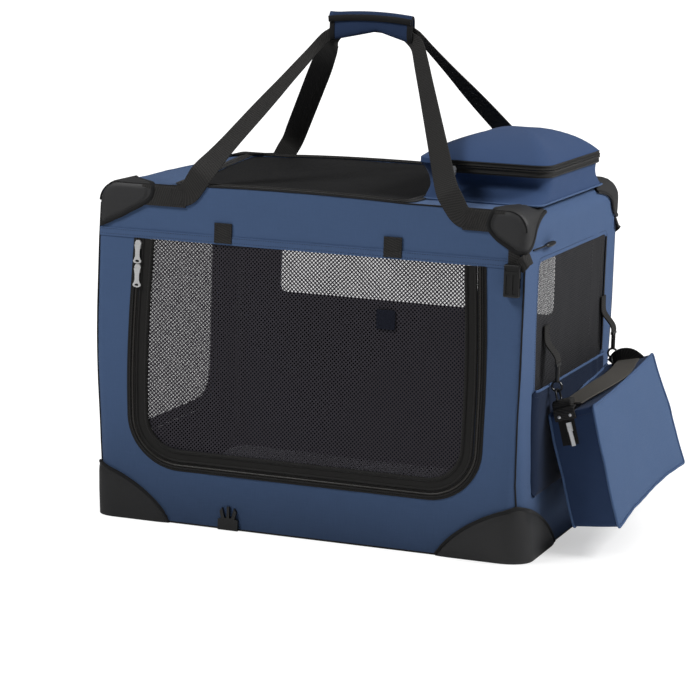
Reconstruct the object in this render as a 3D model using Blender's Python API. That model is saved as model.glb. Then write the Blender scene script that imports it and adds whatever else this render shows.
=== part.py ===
"""Soft pet carrier: a fabric box on a tube frame that folds level onto its base.

Metres, +Z up. The origin is on the floor at the middle of the base, +X runs along the
carrier to the end that carries the pouch, and -Y is the long front with the D-shaped door.
"""
import math

import bpy
import bmesh
from mathutils import Matrix, Vector
from mathutils.geometry import tessellate_polygon

# Overall fabric box
LENGTH = 0.70
DEPTH = 0.52
HEIGHT = 0.54
WALL = 0.003
EDGE_RADIUS = 0.030
GAP = 0.0003

# Tube frame
TUBE_RADIUS = 0.007
TUBE_SIDES = 10
HOOP_CORNER = 0.030
HOOP_CORNER_STEPS = 5
BASE_HOOP_INSET = 0.013
ROOF_HOOP_INSET = 0.037
LEG_INSET = 0.020
LEG_OFFSET = 0.008
BASE_AXIS_RISE = 0.017
ROOF_AXIS_DROP = 0.0247
EAR_RADIUS = 0.006
EAR_THICKNESS = 0.003
EAR_REACH = 0.026
BASE_EAR_THROAT = 0.0075
ROOF_EAR_THROAT = 0.0125
PIN_RADIUS = 0.0024
PIN_CLEARANCE = 0.0004
PIN_HEAD = 0.0044
PIN_HEAD_HEIGHT = 0.0014
TUBE_START = 0.010
TAB_LAP = 0.012

# Base
SHEET = 0.003
BASE_CORNER = 0.024
BOARD = 0.004
MAT_HEIGHT = 0.022
MAT_CLEARANCE = 0.0025
MAT_ROUND = 0.008

# Doors and windows
SEAM_DROP = 0.084
DOOR_BOTTOM = 0.099
DOOR_CORNER = 0.070
DOOR_CORNER_STEPS = 7
DOOR_GAP = 0.0006
DOOR_BORDER = 0.020
FRONT_DOOR_WIDTH = 0.554
LEFT_DOOR_WIDTH = 0.426
MESH = 0.0012
WINDOW_CORNER = 0.012
RIGHT_WINDOW_WIDTH = 0.385
RIGHT_WINDOW_SHIFT = 0.0075
RIGHT_WINDOW_HEIGHT = 0.205
BACK_WINDOW_WIDTH = 0.384
BACK_WINDOW_SHIFT = 0.056
BACK_WINDOW_HEIGHT = 0.155
SIDE_POCKET_WIDTH = 0.40
SIDE_POCKET_TOP = 0.259
SIDE_POCKET_BOTTOM = 0.092
SIDE_POCKET_SLOT = 0.0055
SIDE_POCKET_SHEET = 0.0025

# Roof
ROOF_MESH_LEFT = -0.235
ROOF_MESH_RIGHT = 0.150
ROOF_MESH_FRONT = -0.241
ROOF_MESH_BACK = 0.241

# Corner protectors
PATCH = 0.0022
TOP_PATCH_WIDTH = {"left": 0.0895, "right": 0.0615}
TOP_PATCH_HEIGHT = 0.070
TOP_PATCH_DEPTH = 0.062
TOP_PATCH_EDGE = ((1.0, 0.0), (1.0, 0.15), (0.96, 0.28), (0.87, 0.41), (0.73, 0.54),
                  (0.55, 0.67), (0.36, 0.79), (0.17, 0.90), (0.0, 1.0))
BASE_PATCH_WIDTH = 0.130
BASE_PATCH_HEIGHT = 0.087
BASE_PATCH_DEPTH = 0.160
PATCH_CURVE = 1.45
PATCH_STEPS = 8

# Roof pocket
POCKET_BASE = (0.157, 0.348, -0.190, 0.185)
POCKET_WAIST = (0.154, 0.349, -0.169, 0.166)
POCKET_MOUTH = (0.142, 0.354, -0.171, 0.152)
POCKET_HEIGHT = 0.053
POCKET_WAIST_RISE = 0.018
POCKET_DOME = 0.051
POCKET_CORNER = 0.024
POCKET_WALL = 0.0028

# Handle
WEBBING_WIDTH = 0.038
WEBBING = 0.0025
HANDLE_HEIGHT = 0.245
HANDLE_ROOT = 0.232
STRAP_LAY = 0.016
GRIP_LENGTH = 0.140
GRIP_WALL = 0.0035
STRAP_STEPS = 2

# Buckles
BUCKLE_WIDTH = 0.025
BUCKLE_HEIGHT = 0.050
BUCKLE_THICKNESS = 0.010
BUCKLE_GROOVE = 0.0013
BUCKLE_X = 0.333
PLUG_X = -0.120
PLUG_WIDTH = 0.034
PLUG_HEIGHT = 0.038

# Zip sliders and pulls
SLIDER_WIDTH = 0.0085
SLIDER_LENGTH = 0.014
SLIDER_HEIGHT = 0.0042
PULL_LENGTH = 0.030
PULL_THICKNESS = 0.0014
SLIDER_DROP = 0.012
SLIDER_SPACING = 0.020
POCKET_SLIDER_X = 0.204

# Tabs on the front
TIE_WIDTH = 0.030
TIE_HEIGHT = 0.031
TIE_X = 0.140
HOOK_SQUARE = 0.030
HOOK_SQUARE_X = 0.132
HOOK_SQUARE_DROP = 0.096

# Drawcord toggle
TOGGLE_Y = -0.212
TOGGLE_RISE = 0.026

# Pouch
POUCH_WIDTH = 0.360
POUCH_HEIGHT = 0.180
POUCH_THICKNESS = 0.080
POUCH_SHIFT = 0.030
POUCH_TILT = math.radians(17.5)
POUCH_ROUND = 0.010
POUCH_AXIS_OUT = 0.022
POUCH_AXIS_Z = 0.2535
POUCH_TOP_DROP = 0.0345
POUCH_INNER = 0.017
POUCH_STRAP_OUT = 0.040
POUCH_STRAP_RISE = 0.016
RING_RADIUS = 0.011
RING_WIRE = 0.0016
HOOK_SPAN = 0.330
HOOK_LOOP = 0.008
HOOK_WIRE = 0.0018
HOOK_SHANK = 0.026
TAB_WIDTH = 0.026
TAB_HEIGHT = 0.058

# Worked out from the sizes above
FRONT = -DEPTH / 2
BACK = DEPTH / 2
LEFT = -LENGTH / 2
RIGHT = LENGTH / 2
INNER_FRONT = FRONT + WALL
INNER_END = RIGHT - WALL
FLOOR_TOP = SHEET + GAP
SEAM_HEIGHT = HEIGHT - SEAM_DROP
HOOP_Y = DEPTH / 2 - WALL - 2 * GAP - TUBE_RADIUS
BASE_HOOP_X = LENGTH / 2 - BASE_HOOP_INSET
ROOF_HOOP_X = LENGTH / 2 - ROOF_HOOP_INSET
BASE_HOOP_Z = FLOOR_TOP + TUBE_RADIUS
ROOF_HOOP_Z = HEIGHT - WALL - GAP - TUBE_RADIUS
LEG_X = LENGTH / 2 - LEG_INSET
BASE_AXIS_Z = BASE_HOOP_Z + TUBE_RADIUS + BASE_AXIS_RISE
ROOF_AXIS_Z = ROOF_HOOP_Z - TUBE_RADIUS - ROOF_AXIS_DROP
LEG_LINK = (ROOF_AXIS_Z - BASE_AXIS_Z) / 2
KNEE_Z = BASE_AXIS_Z + LEG_LINK
ROOF_TOP = HEIGHT + GAP
POCKET_RIM = ROOF_TOP + POCKET_HEIGHT
HANDLE_Z = HEIGHT + HANDLE_HEIGHT
POUCH_AXIS_X = RIGHT + POUCH_AXIS_OUT
BUCKLE_AXIS_Y = DEPTH / 2 + GAP + PATCH + 0.0002


# Scene and materials

def clear_scene():
    for obj in list(bpy.data.objects):
        bpy.data.objects.remove(obj, do_unlink=True)


def material(name, colour, roughness, metallic=0.0):
    mat = bpy.data.materials.new(name)
    mat.use_nodes = True
    shader = mat.node_tree.nodes["Principled BSDF"]
    shader.inputs["Base Color"].default_value = (*colour, 1.0)
    shader.inputs["Roughness"].default_value = roughness
    shader.inputs["Metallic"].default_value = metallic
    mat.diffuse_color = (*colour, 1.0)
    return mat


def add_empty(name, location, rotation=(0, 0, 0), parent=None):
    empty = bpy.data.objects.new(name, None)
    empty.location = location
    empty.rotation_euler = rotation
    empty.parent = parent
    bpy.context.scene.collection.objects.link(empty)
    return empty


def add_object(name, bm, mat, location=(0, 0, 0), parent=None, cutter=False, smooth=35):
    """Turn a bmesh, drawn round its own origin, into an object placed at location."""
    bmesh.ops.recalc_face_normals(bm, faces=bm.faces)
    mesh = bpy.data.meshes.new(name)
    bm.to_mesh(mesh)
    bm.free()
    mesh.materials.append(mat)
    mesh.shade_smooth()
    mesh.set_sharp_from_angle(angle=math.radians(smooth))
    obj = bpy.data.objects.new(name, mesh)
    obj.location = location
    obj.parent = parent
    bpy.context.scene.collection.objects.link(obj)
    if cutter:
        obj.hide_render = True
        obj.display_type = 'WIRE'
    return obj


def boolean(obj, cutter, operation):
    modifier = obj.modifiers.new(cutter.name, 'BOOLEAN')
    modifier.operation = operation
    modifier.solver = 'EXACT'
    modifier.object = cutter


def fuse(obj, meshes, mat):
    """Weld more shapes onto an object; each is a bmesh in the object's own frame."""
    for index, bm in enumerate(meshes):
        helper = add_object(f"{obj.name}_add{index}", bm, mat, obj.location, obj.parent, True)
        boolean(obj, helper, 'UNION')


def cut(obj, meshes, mat):
    for index, bm in enumerate(meshes):
        helper = add_object(f"{obj.name}_cut{index}", bm, mat, obj.location, obj.parent, True)
        boolean(obj, helper, 'DIFFERENCE')


# Outlines, as lists of (u, v) points

def rounded_rectangle(u0, u1, v0, v1, radius, steps=4):
    points = []
    for cu, cv, start in ((u1 - radius, v0 + radius, -90), (u1 - radius, v1 - radius, 0),
                          (u0 + radius, v1 - radius, 90), (u0 + radius, v0 + radius, 180)):
        for step in range(steps + 1):
            angle = math.radians(start + 90 * step / steps)
            points.append((cu + radius * math.cos(angle), cv + radius * math.sin(angle)))
    return points


def d_outline(half_width, bottom, top, radius, steps=DOOR_CORNER_STEPS):
    """A doorway with square top corners and rounded bottom corners."""
    points = [(half_width, top), (-half_width, top)]
    for cu, start in ((-half_width + radius, 180), (half_width - radius, 270)):
        for step in range(steps + 1):
            angle = math.radians(start + 90 * step / steps)
            points.append((cu + radius * math.cos(angle),
                           bottom + radius + radius * math.sin(angle)))
    return points


def box_outline(u0, u1, v0, v1):
    return [(u0, v0), (u1, v0), (u1, v1), (u0, v1)]


def shoulder_outline(half_width, bottom, top, radius, steps=6):
    """A wall with square bottom corners and rounded top corners."""
    points = [(-half_width, bottom), (half_width, bottom)]
    for cu, start in ((half_width - radius, 0), (-half_width + radius, 90)):
        for step in range(steps + 1):
            angle = math.radians(start + 90 * step / steps)
            points.append((cu + radius * math.cos(angle),
                           top - radius + radius * math.sin(angle)))
    return points


def shifted(points, du, dv=0.0):
    return [(u + du, v + dv) for u, v in points]


# Solids

AXES = {'X': lambda u, v, w: (w, u, v), 'Y': lambda u, v, w: (u, w, v),
        'Z': lambda u, v, w: (u, v, w)}


def prism(outline, lo, hi, axis='Z', holes=()):
    """Extrude an outline, with holes, between two levels of an axis."""
    place = AXES[axis]
    loops = [list(outline)] + [list(hole) for hole in holes]
    triangles = tessellate_polygon([[Vector((u, v, 0)) for u, v in loop] for loop in loops])
    bm = bmesh.new()
    flat = [point for loop in loops for point in loop]
    low = [bm.verts.new(place(u, v, lo)) for u, v in flat]
    high = [bm.verts.new(place(u, v, hi)) for u, v in flat]
    for a, b, c in triangles:
        bm.faces.new((low[a], low[b], low[c]))
        bm.faces.new((high[c], high[b], high[a]))
    start = 0
    for loop in loops:
        for index in range(len(loop)):
            a = start + index
            b = start + (index + 1) % len(loop)
            bm.faces.new((low[a], low[b], high[b], high[a]))
        start += len(loop)
    return bm


def block(x0, x1, y0, y1, z0, z1, bevel=0.0, segments=2):
    bm = prism(box_outline(x0, x1, y0, y1), z0, z1)
    if bevel:
        bmesh.ops.recalc_face_normals(bm, faces=bm.faces)
        bmesh.ops.dissolve_limit(bm, angle_limit=0.01, verts=bm.verts, edges=bm.edges)
        bmesh.ops.bevel(bm, geom=bm.edges[:], offset=bevel, segments=segments,
                        affect='EDGES', profile=0.5, clamp_overlap=True)
    return bm


def cylinder(radius, lo, hi, axis='Y', centre=(0.0, 0.0), sides=12):
    outline = [(centre[0] + radius * math.cos(2 * math.pi * k / sides),
                centre[1] + radius * math.sin(2 * math.pi * k / sides)) for k in range(sides)]
    return prism(outline, lo, hi, axis)


def sweep(rings, closed=False):
    """Skin a list of rings, each a list of 3-D points, into one closed body."""
    bm = bmesh.new()
    loops = [[bm.verts.new(point) for point in ring] for ring in rings]
    count = len(loops[0])
    pairs = list(zip(loops, loops[1:]))
    if closed:
        pairs.append((loops[-1], loops[0]))
    for near, far in pairs:
        for k in range(count):
            bm.faces.new((near[k], near[(k + 1) % count], far[(k + 1) % count], far[k]))
    if not closed:
        bm.faces.new(list(reversed(loops[0])))
        bm.faces.new(loops[-1])
    return bm


def hoop(half_x, half_y, corner, radius):
    """A rounded-rectangle tube hoop lying level round the origin."""
    path = rounded_rectangle(-half_x, half_x, -half_y, half_y, corner, HOOP_CORNER_STEPS)
    count = len(path)
    rings = []
    for index, (x, y) in enumerate(path):
        before = Vector(path[index - 1])
        after = Vector(path[(index + 1) % count])
        along = (after - before).normalized()
        outward = Vector((along.y, -along.x, 0))
        rings.append([Vector((x, y, 0)) + radius * (math.cos(a) * outward
                      + math.sin(a) * Vector((0, 0, 1)))
                      for a in (2 * math.pi * k / TUBE_SIDES for k in range(TUBE_SIDES))])
    return sweep(rings, closed=True)


def torus(ring_radius, wire, normal, centre=(0, 0, 0), steps=14, sides=6):
    """A wire ring; normal names the axis that it faces."""
    rings = []
    turn = {'X': Matrix.Rotation(math.pi / 2, 3, 'Y'), 'Y': Matrix.Rotation(math.pi / 2, 3, 'X'),
            'Z': Matrix.Identity(3)}[normal]
    for i in range(steps):
        a = 2 * math.pi * i / steps
        out = Vector((math.cos(a), math.sin(a), 0))
        rings.append([Vector(centre) + turn @ (out * (ring_radius + wire * math.cos(b))
                      + Vector((0, 0, wire * math.sin(b))))
                      for b in (2 * math.pi * k / sides for k in range(sides))])
    return sweep(rings, closed=True)


def ribbon(points, widths, width, thickness):
    """A flat band along points; widths holds the direction across it at each point."""
    rings = []
    for index, point in enumerate(points):
        along = (points[min(index + 1, len(points) - 1)] - points[max(index - 1, 0)]).normalized()
        across = widths[index]
        across = (across - across.dot(along) * along).normalized()
        normal = along.cross(across)
        rings.append([point + sx * across * width / 2 + sn * normal * thickness / 2
                      for sx, sn in ((-1, -1), (1, -1), (1, 1), (-1, 1))])
    return sweep(rings)


def smooth_path(points, rounds):
    """Cut the corners of a route; the curve keeps its ends and stays inside the corners."""
    result = [point.copy() for point in points]
    for _ in range(rounds):
        cut_path = [result[0]]
        for a, b in zip(result, result[1:]):
            cut_path += [a.lerp(b, 0.25), a.lerp(b, 0.75)]
        result = cut_path + [result[-1]]
    return result


# Tube frame

def ear_shapes(sx, sy, hoop_x, hoop_z, axis_z, throat):
    """A welded ear with its pin: a foot along the hoop's long tube, then up to the axis."""
    y_leg = sy * HOOP_Y
    up = 1 if axis_z > hoop_z else -1
    root = hoop_x - HOOP_CORNER - EAR_REACH
    half = TUBE_RADIUS * 0.8
    outer = LEG_X + EAR_RADIUS
    inner = LEG_X - EAR_RADIUS
    level = hoop_z - up * half * 0.4
    points = [(root, level), (min(hoop_x - HOOP_CORNER, inner), level),
              (outer, hoop_z + up * TUBE_RADIUS * 1.4)]
    for step in range(7):
        angle = math.radians(180 * step / 6)
        points.append((LEG_X + EAR_RADIUS * math.cos(angle),
                       axis_z + up * EAR_RADIUS * math.sin(angle)))
    points += [(inner, hoop_z + up * throat), (root, hoop_z + up * half * 0.6)]
    outline = [(sx * x, z) for x, z in points]
    lo, hi = sorted((y_leg, y_leg + sy * EAR_THICKNESS))
    ear = prism(outline, lo, hi, 'Y')
    centre = (sx * LEG_X, axis_z)
    return [ear] + pin_shapes(centre, y_leg, sy)


def pin_shapes(centre, y_leg, sy):
    """The rivet fixed in an outer plate, through the inner plate, with its head inside."""
    reach = y_leg - sy * (EAR_THICKNESS + 3 * GAP)
    lo, hi = sorted((y_leg + sy * EAR_THICKNESS / 2, reach - sy * PIN_HEAD_HEIGHT / 2))
    shank = cylinder(PIN_RADIUS, lo, hi, 'Y', centre, 10)
    lo, hi = sorted((reach, reach - sy * PIN_HEAD_HEIGHT))
    head = cylinder(PIN_HEAD, lo, hi, 'Y', centre, 10)
    return [shank, head]


def plate_outline(sx, axis_z, up):
    """The flattened end of a leg: an eye on the axis and a lap inside the tube."""
    tube_x = LEG_X - LEG_OFFSET
    lap = axis_z + up * (TUBE_START + TAB_LAP)
    start = axis_z + up * TUBE_START
    points = [(LEG_X + EAR_RADIUS * math.cos(math.radians(a)),
               axis_z - up * EAR_RADIUS * math.sin(math.radians(a)))
              for a in (0, 30, 60, 90, 120, 150, 180)]
    points += [(tube_x - TUBE_RADIUS * 0.6, start - up * 0.001),
               (tube_x - TUBE_RADIUS * 0.6, lap), (tube_x + TUBE_RADIUS * 0.6, lap),
               (LEG_X + EAR_RADIUS * 0.6, axis_z + up * EAR_RADIUS * 0.8)]
    return [(sx * x, z) for x, z in points]


def make_leg(name, sx, sy, low_z, high_z, outer_top, mats, parent_origin, parent):
    """One leg tube with an eye plate at each end. outer_top marks the lower leg, which
    holds the knee rivet."""
    y_leg = sy * HOOP_Y
    tube_x = sx * (LEG_X - LEG_OFFSET)
    ox, _, oz = parent_origin
    tube = cylinder(TUBE_RADIUS, low_z + TUBE_START, high_z - TUBE_START, 'Z',
                    (tube_x, y_leg), TUBE_SIDES)
    shapes = []
    for axis_z, up, outer in ((low_z, 1, False), (high_z, -1, outer_top)):
        lo = y_leg if outer else y_leg - sy * (EAR_THICKNESS + GAP)
        hi = lo + sy * (EAR_THICKNESS)
        lo, hi = sorted((lo, hi))
        eye = [] if outer else [[(sx * LEG_X + (PIN_RADIUS + PIN_CLEARANCE) * math.cos(a),
                                  axis_z + (PIN_RADIUS + PIN_CLEARANCE) * math.sin(a))
                                 for a in (2 * math.pi * k / 10 for k in range(10))]]
        shapes.append(prism(plate_outline(sx, axis_z, up), lo, hi, 'Y', eye))
        if outer:
            shapes += pin_shapes((sx * LEG_X, axis_z), y_leg, sy)
    for bm in [tube] + shapes:
        bmesh.ops.translate(bm, verts=bm.verts, vec=(-ox, 0, -oz))
    leg = add_object(name, tube, mats['frame'], (0, 0, 0), parent)
    fuse(leg, shapes, mats['frame'])
    return leg


def build_frame(mats):
    base = add_object("base_hoop", hoop(BASE_HOOP_X, HOOP_Y, HOOP_CORNER, TUBE_RADIUS),
                      mats['frame'], (0, 0, BASE_HOOP_Z))
    roof = add_object("roof_hoop", hoop(ROOF_HOOP_X, HOOP_Y, HOOP_CORNER, TUBE_RADIUS),
                      mats['frame'], (0, 0, ROOF_HOOP_Z))
    for obj, hoop_x, hoop_z, axis_z, throat in (
            (base, BASE_HOOP_X, BASE_HOOP_Z, BASE_AXIS_Z, BASE_EAR_THROAT),
            (roof, ROOF_HOOP_X, ROOF_HOOP_Z, ROOF_AXIS_Z, ROOF_EAR_THROAT)):
        shapes = []
        for sx in (-1, 1):
            for sy in (-1, 1):
                shapes += ear_shapes(sx, sy, hoop_x, hoop_z, axis_z, throat)
        for bm in shapes:
            bmesh.ops.translate(bm, verts=bm.verts, vec=(0, 0, -hoop_z))
        fuse(obj, shapes, mats['frame'])
    for sx, side in ((-1, "left"), (1, "right")):
        low = add_empty(f"{side}_lower_axis", (sx * LEG_X, 0, BASE_AXIS_Z))
        knee = add_empty(f"{side}_knee_axis", (sx * LEG_X, 0, KNEE_Z))
        for sy, end in ((-1, "front"), (1, "back")):
            make_leg(f"{end}_{side}_lower_leg", sx, sy, BASE_AXIS_Z, KNEE_Z, True, mats,
                     (sx * LEG_X, 0, BASE_AXIS_Z), low)
            make_leg(f"{end}_{side}_upper_leg", sx, sy, KNEE_Z, ROOF_AXIS_Z, False, mats,
                     (sx * LEG_X, 0, KNEE_Z), knee)


# Base

def build_base(mats):
    sheet = prism(rounded_rectangle(LEFT, RIGHT, FRONT, BACK, BASE_CORNER, 4), 0, SHEET)
    add_object("base_cover", sheet, mats['fabric_dark'])
    half_x = BASE_HOOP_X - TUBE_RADIUS - MAT_CLEARANCE
    half_y = HOOP_Y - TUBE_RADIUS - MAT_CLEARANCE
    corner = max(HOOP_CORNER - TUBE_RADIUS - MAT_CLEARANCE, 0.004)
    board = prism(rounded_rectangle(-half_x, half_x, -half_y, half_y, corner, 3), 0, BOARD)
    add_object("floor_board", board, mats['board'], (0, 0, FLOOR_TOP))
    rings = []
    for inset, z in ((MAT_ROUND * 0.35, 0), (0, MAT_ROUND * 0.45), (0, MAT_HEIGHT - MAT_ROUND),
                     (MAT_ROUND * 0.35, MAT_HEIGHT - MAT_ROUND * 0.3),
                     (MAT_ROUND * 1.4, MAT_HEIGHT)):
        rings.append([(x, y, z) for x, y in rounded_rectangle(
            -half_x + inset, half_x - inset, -half_y + inset, half_y - inset, corner, 3)])
    add_object("mat", sweep(rings), mats['mat'], (0, 0, FLOOR_TOP + BOARD + GAP))


# Walls, doors and windows

def end_wall_profile():
    """Section of an end wall in (x, z): upright sheet with a quarter-round lip at the top."""
    cx, cz = RIGHT - EDGE_RADIUS, HEIGHT - EDGE_RADIUS
    outer = [(cx + EDGE_RADIUS * math.cos(a), cz + EDGE_RADIUS * math.sin(a))
             for a in (math.radians(15 * k) for k in range(7))]
    inner_radius = EDGE_RADIUS - WALL
    inner = [(cx + inner_radius * math.cos(a), cz + inner_radius * math.sin(a))
             for a in (math.radians(15 * k) for k in range(6, -1, -1))]
    return [(RIGHT, FLOOR_TOP)] + outer + inner + [(INNER_END, FLOOR_TOP)]


def build_walls(mats):
    doorway = d_outline(FRONT_DOOR_WIDTH / 2, DOOR_BOTTOM, SEAM_HEIGHT, DOOR_CORNER)
    shape = shoulder_outline(LENGTH / 2, FLOOR_TOP, HEIGHT, EDGE_RADIUS)
    front = prism(shape, FRONT, INNER_FRONT, 'Y', [doorway])
    add_object("front_wall", front, mats['fabric'])

    window = shifted(rounded_rectangle(-BACK_WINDOW_WIDTH / 2, BACK_WINDOW_WIDTH / 2,
                                       SEAM_HEIGHT - BACK_WINDOW_HEIGHT, SEAM_HEIGHT,
                                       WINDOW_CORNER, 3), BACK_WINDOW_SHIFT)
    back = prism(shape, -INNER_FRONT, BACK, 'Y', [window])
    add_object("back_wall", back, mats['fabric'])
    pane = shifted(rounded_rectangle(-BACK_WINDOW_WIDTH / 2 + GAP, BACK_WINDOW_WIDTH / 2 - GAP,
                                     SEAM_HEIGHT - BACK_WINDOW_HEIGHT + GAP, SEAM_HEIGHT - GAP,
                                     WINDOW_CORNER, 3), BACK_WINDOW_SHIFT)
    add_object("back_mesh", prism(pane, BACK - WALL / 2 - MESH / 2, BACK - WALL / 2 + MESH / 2, 'Y'),
               mats['mesh'])

    profile = end_wall_profile()
    half = DEPTH / 2 - WALL - GAP
    cut_depth = 4 * WALL
    right = add_object("right_wall", prism(profile, -half, half, 'Y'), mats['fabric'])
    window = shifted(rounded_rectangle(-RIGHT_WINDOW_WIDTH / 2, RIGHT_WINDOW_WIDTH / 2,
                                       SEAM_HEIGHT - RIGHT_WINDOW_HEIGHT, SEAM_HEIGHT,
                                       WINDOW_CORNER, 3), RIGHT_WINDOW_SHIFT)
    cut(right, [prism(window, RIGHT - cut_depth, RIGHT + cut_depth, 'X')], mats['fabric'])
    pane = shifted(rounded_rectangle(-RIGHT_WINDOW_WIDTH / 2 + GAP, RIGHT_WINDOW_WIDTH / 2 - GAP,
                                     SEAM_HEIGHT - RIGHT_WINDOW_HEIGHT + GAP, SEAM_HEIGHT - GAP,
                                     WINDOW_CORNER, 3), RIGHT_WINDOW_SHIFT)
    add_object("right_mesh", prism(pane, RIGHT - WALL / 2 - MESH / 2, RIGHT - WALL / 2 + MESH / 2,
                                   'X'), mats['mesh'])

    left = add_object("left_wall", prism([(-x, z) for x, z in profile], -half, half, 'Y'),
                      mats['fabric'])
    doorway = d_outline(LEFT_DOOR_WIDTH / 2, DOOR_BOTTOM, SEAM_HEIGHT, DOOR_CORNER)
    cut(left, [prism(doorway, LEFT - cut_depth, LEFT + cut_depth, 'X')], mats['fabric'])


def door_shapes(width, lo, hi, axis):
    """A zip-edged border and the mesh inside it, hung from the seam at the origin."""
    half = width / 2 - DOOR_GAP
    bottom = DOOR_BOTTOM - SEAM_HEIGHT + DOOR_GAP
    outer = d_outline(half, bottom, -DOOR_GAP, DOOR_CORNER)
    inner = d_outline(half - DOOR_BORDER, bottom + DOOR_BORDER, -DOOR_GAP - DOOR_BORDER / 3,
                      DOOR_CORNER - DOOR_BORDER / 2)
    lapped = d_outline(half - DOOR_BORDER / 2, bottom + DOOR_BORDER / 2,
                       -DOOR_GAP - DOOR_BORDER / 6, DOOR_CORNER - DOOR_BORDER / 4)
    middle = (lo + hi) / 2
    return (prism(outer, lo, hi, axis, [inner]),
            prism(lapped, middle - MESH / 2, middle + MESH / 2, axis))


def build_doors(mats):
    seam = add_empty("front_door_axis", (0, FRONT - GAP, SEAM_HEIGHT))
    border, mesh = door_shapes(FRONT_DOOR_WIDTH, GAP, GAP + WALL, 'Y')
    door = add_object("front_door", border, mats['zip'], parent=seam)
    fuse(door, [mesh], mats['mesh'])
    seam = add_empty("left_door_axis", (LEFT - GAP, 0, SEAM_HEIGHT))
    border, mesh = door_shapes(LEFT_DOOR_WIDTH, GAP, GAP + WALL, 'X')
    door = add_object("left_door", border, mats['zip'], parent=seam)
    fuse(door, [mesh], mats['mesh'])
    z = -HOOK_SQUARE_DROP
    square = block(HOOK_SQUARE_X - HOOK_SQUARE / 2, HOOK_SQUARE_X + HOOK_SQUARE / 2,
                   -0.0001, GAP + WALL / 2 - MESH / 2 - GAP,
                   z - HOOK_SQUARE / 2, z + HOOK_SQUARE / 2)
    add_object("hook_square", square, mats['webbing'],
               parent=bpy.data.objects["front_door_axis"])
    for sx, side in ((-1, "left"), (1, "right")):
        tab = block(-TIE_WIDTH / 2, TIE_WIDTH / 2, -WEBBING, 0, 0, TIE_HEIGHT, 0.0006, 1)
        add_object(f"tie_tab_{side}", tab, mats['webbing'],
                   (sx * TIE_X, FRONT - GAP, SEAM_HEIGHT + 0.001))


def build_side_pocket(mats):
    """An open-topped pocket: a panel stood off the wall by its gusset."""
    half = SIDE_POCKET_WIDTH / 2
    height = SIDE_POCKET_TOP - SIDE_POCKET_BOTTOM
    outline = rounded_rectangle(-half, half, 0, height, 0.006, 2)
    panel = prism(outline, 0, SIDE_POCKET_SLOT + SIDE_POCKET_SHEET, 'X')
    pocket = add_object("side_pocket", panel, mats['fabric'],
                        (RIGHT + GAP, 0, SIDE_POCKET_BOTTOM))
    inner = box_outline(-half + SIDE_POCKET_SHEET, half - SIDE_POCKET_SHEET,
                        SIDE_POCKET_SHEET, height + 0.02)
    cut(pocket, [prism(inner, -0.02, SIDE_POCKET_SLOT, 'X')], mats['fabric'])


# Roof

def build_roof(mats):
    half_x = LENGTH / 2 - EDGE_RADIUS - GAP
    half_y = DEPTH / 2 - WALL - GAP
    opening = rounded_rectangle(ROOF_MESH_LEFT, ROOF_MESH_RIGHT, ROOF_MESH_FRONT,
                                ROOF_MESH_BACK, WINDOW_CORNER, 3)
    panel = prism(box_outline(-half_x, half_x, -half_y, half_y), HEIGHT - WALL, HEIGHT, 'Z',
                  [opening])
    add_object("roof_panel", panel, mats['fabric'])
    pane = rounded_rectangle(ROOF_MESH_LEFT + GAP, ROOF_MESH_RIGHT - GAP, ROOF_MESH_FRONT + GAP,
                             ROOF_MESH_BACK - GAP, WINDOW_CORNER, 3)
    middle = HEIGHT - WALL / 2
    add_object("roof_mesh", prism(pane, middle - MESH / 2, middle + MESH / 2), mats['mesh'])


def top_patch_edge(side):
    """Points of a top protector's bound edge, as distances in and down from the corner."""
    return [(TOP_PATCH_WIDTH[side] * u, TOP_PATCH_HEIGHT * v) for u, v in TOP_PATCH_EDGE]


def curved_edge(width, height, steps=PATCH_STEPS):
    """Points of a protector's bound edge, from its far end to its tip up the corner."""
    return [(width * math.cos(a) ** (2 / PATCH_CURVE), height * math.sin(a) ** (2 / PATCH_CURVE))
            for a in (math.pi / 2 * k / steps for k in range(steps + 1))]


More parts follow.
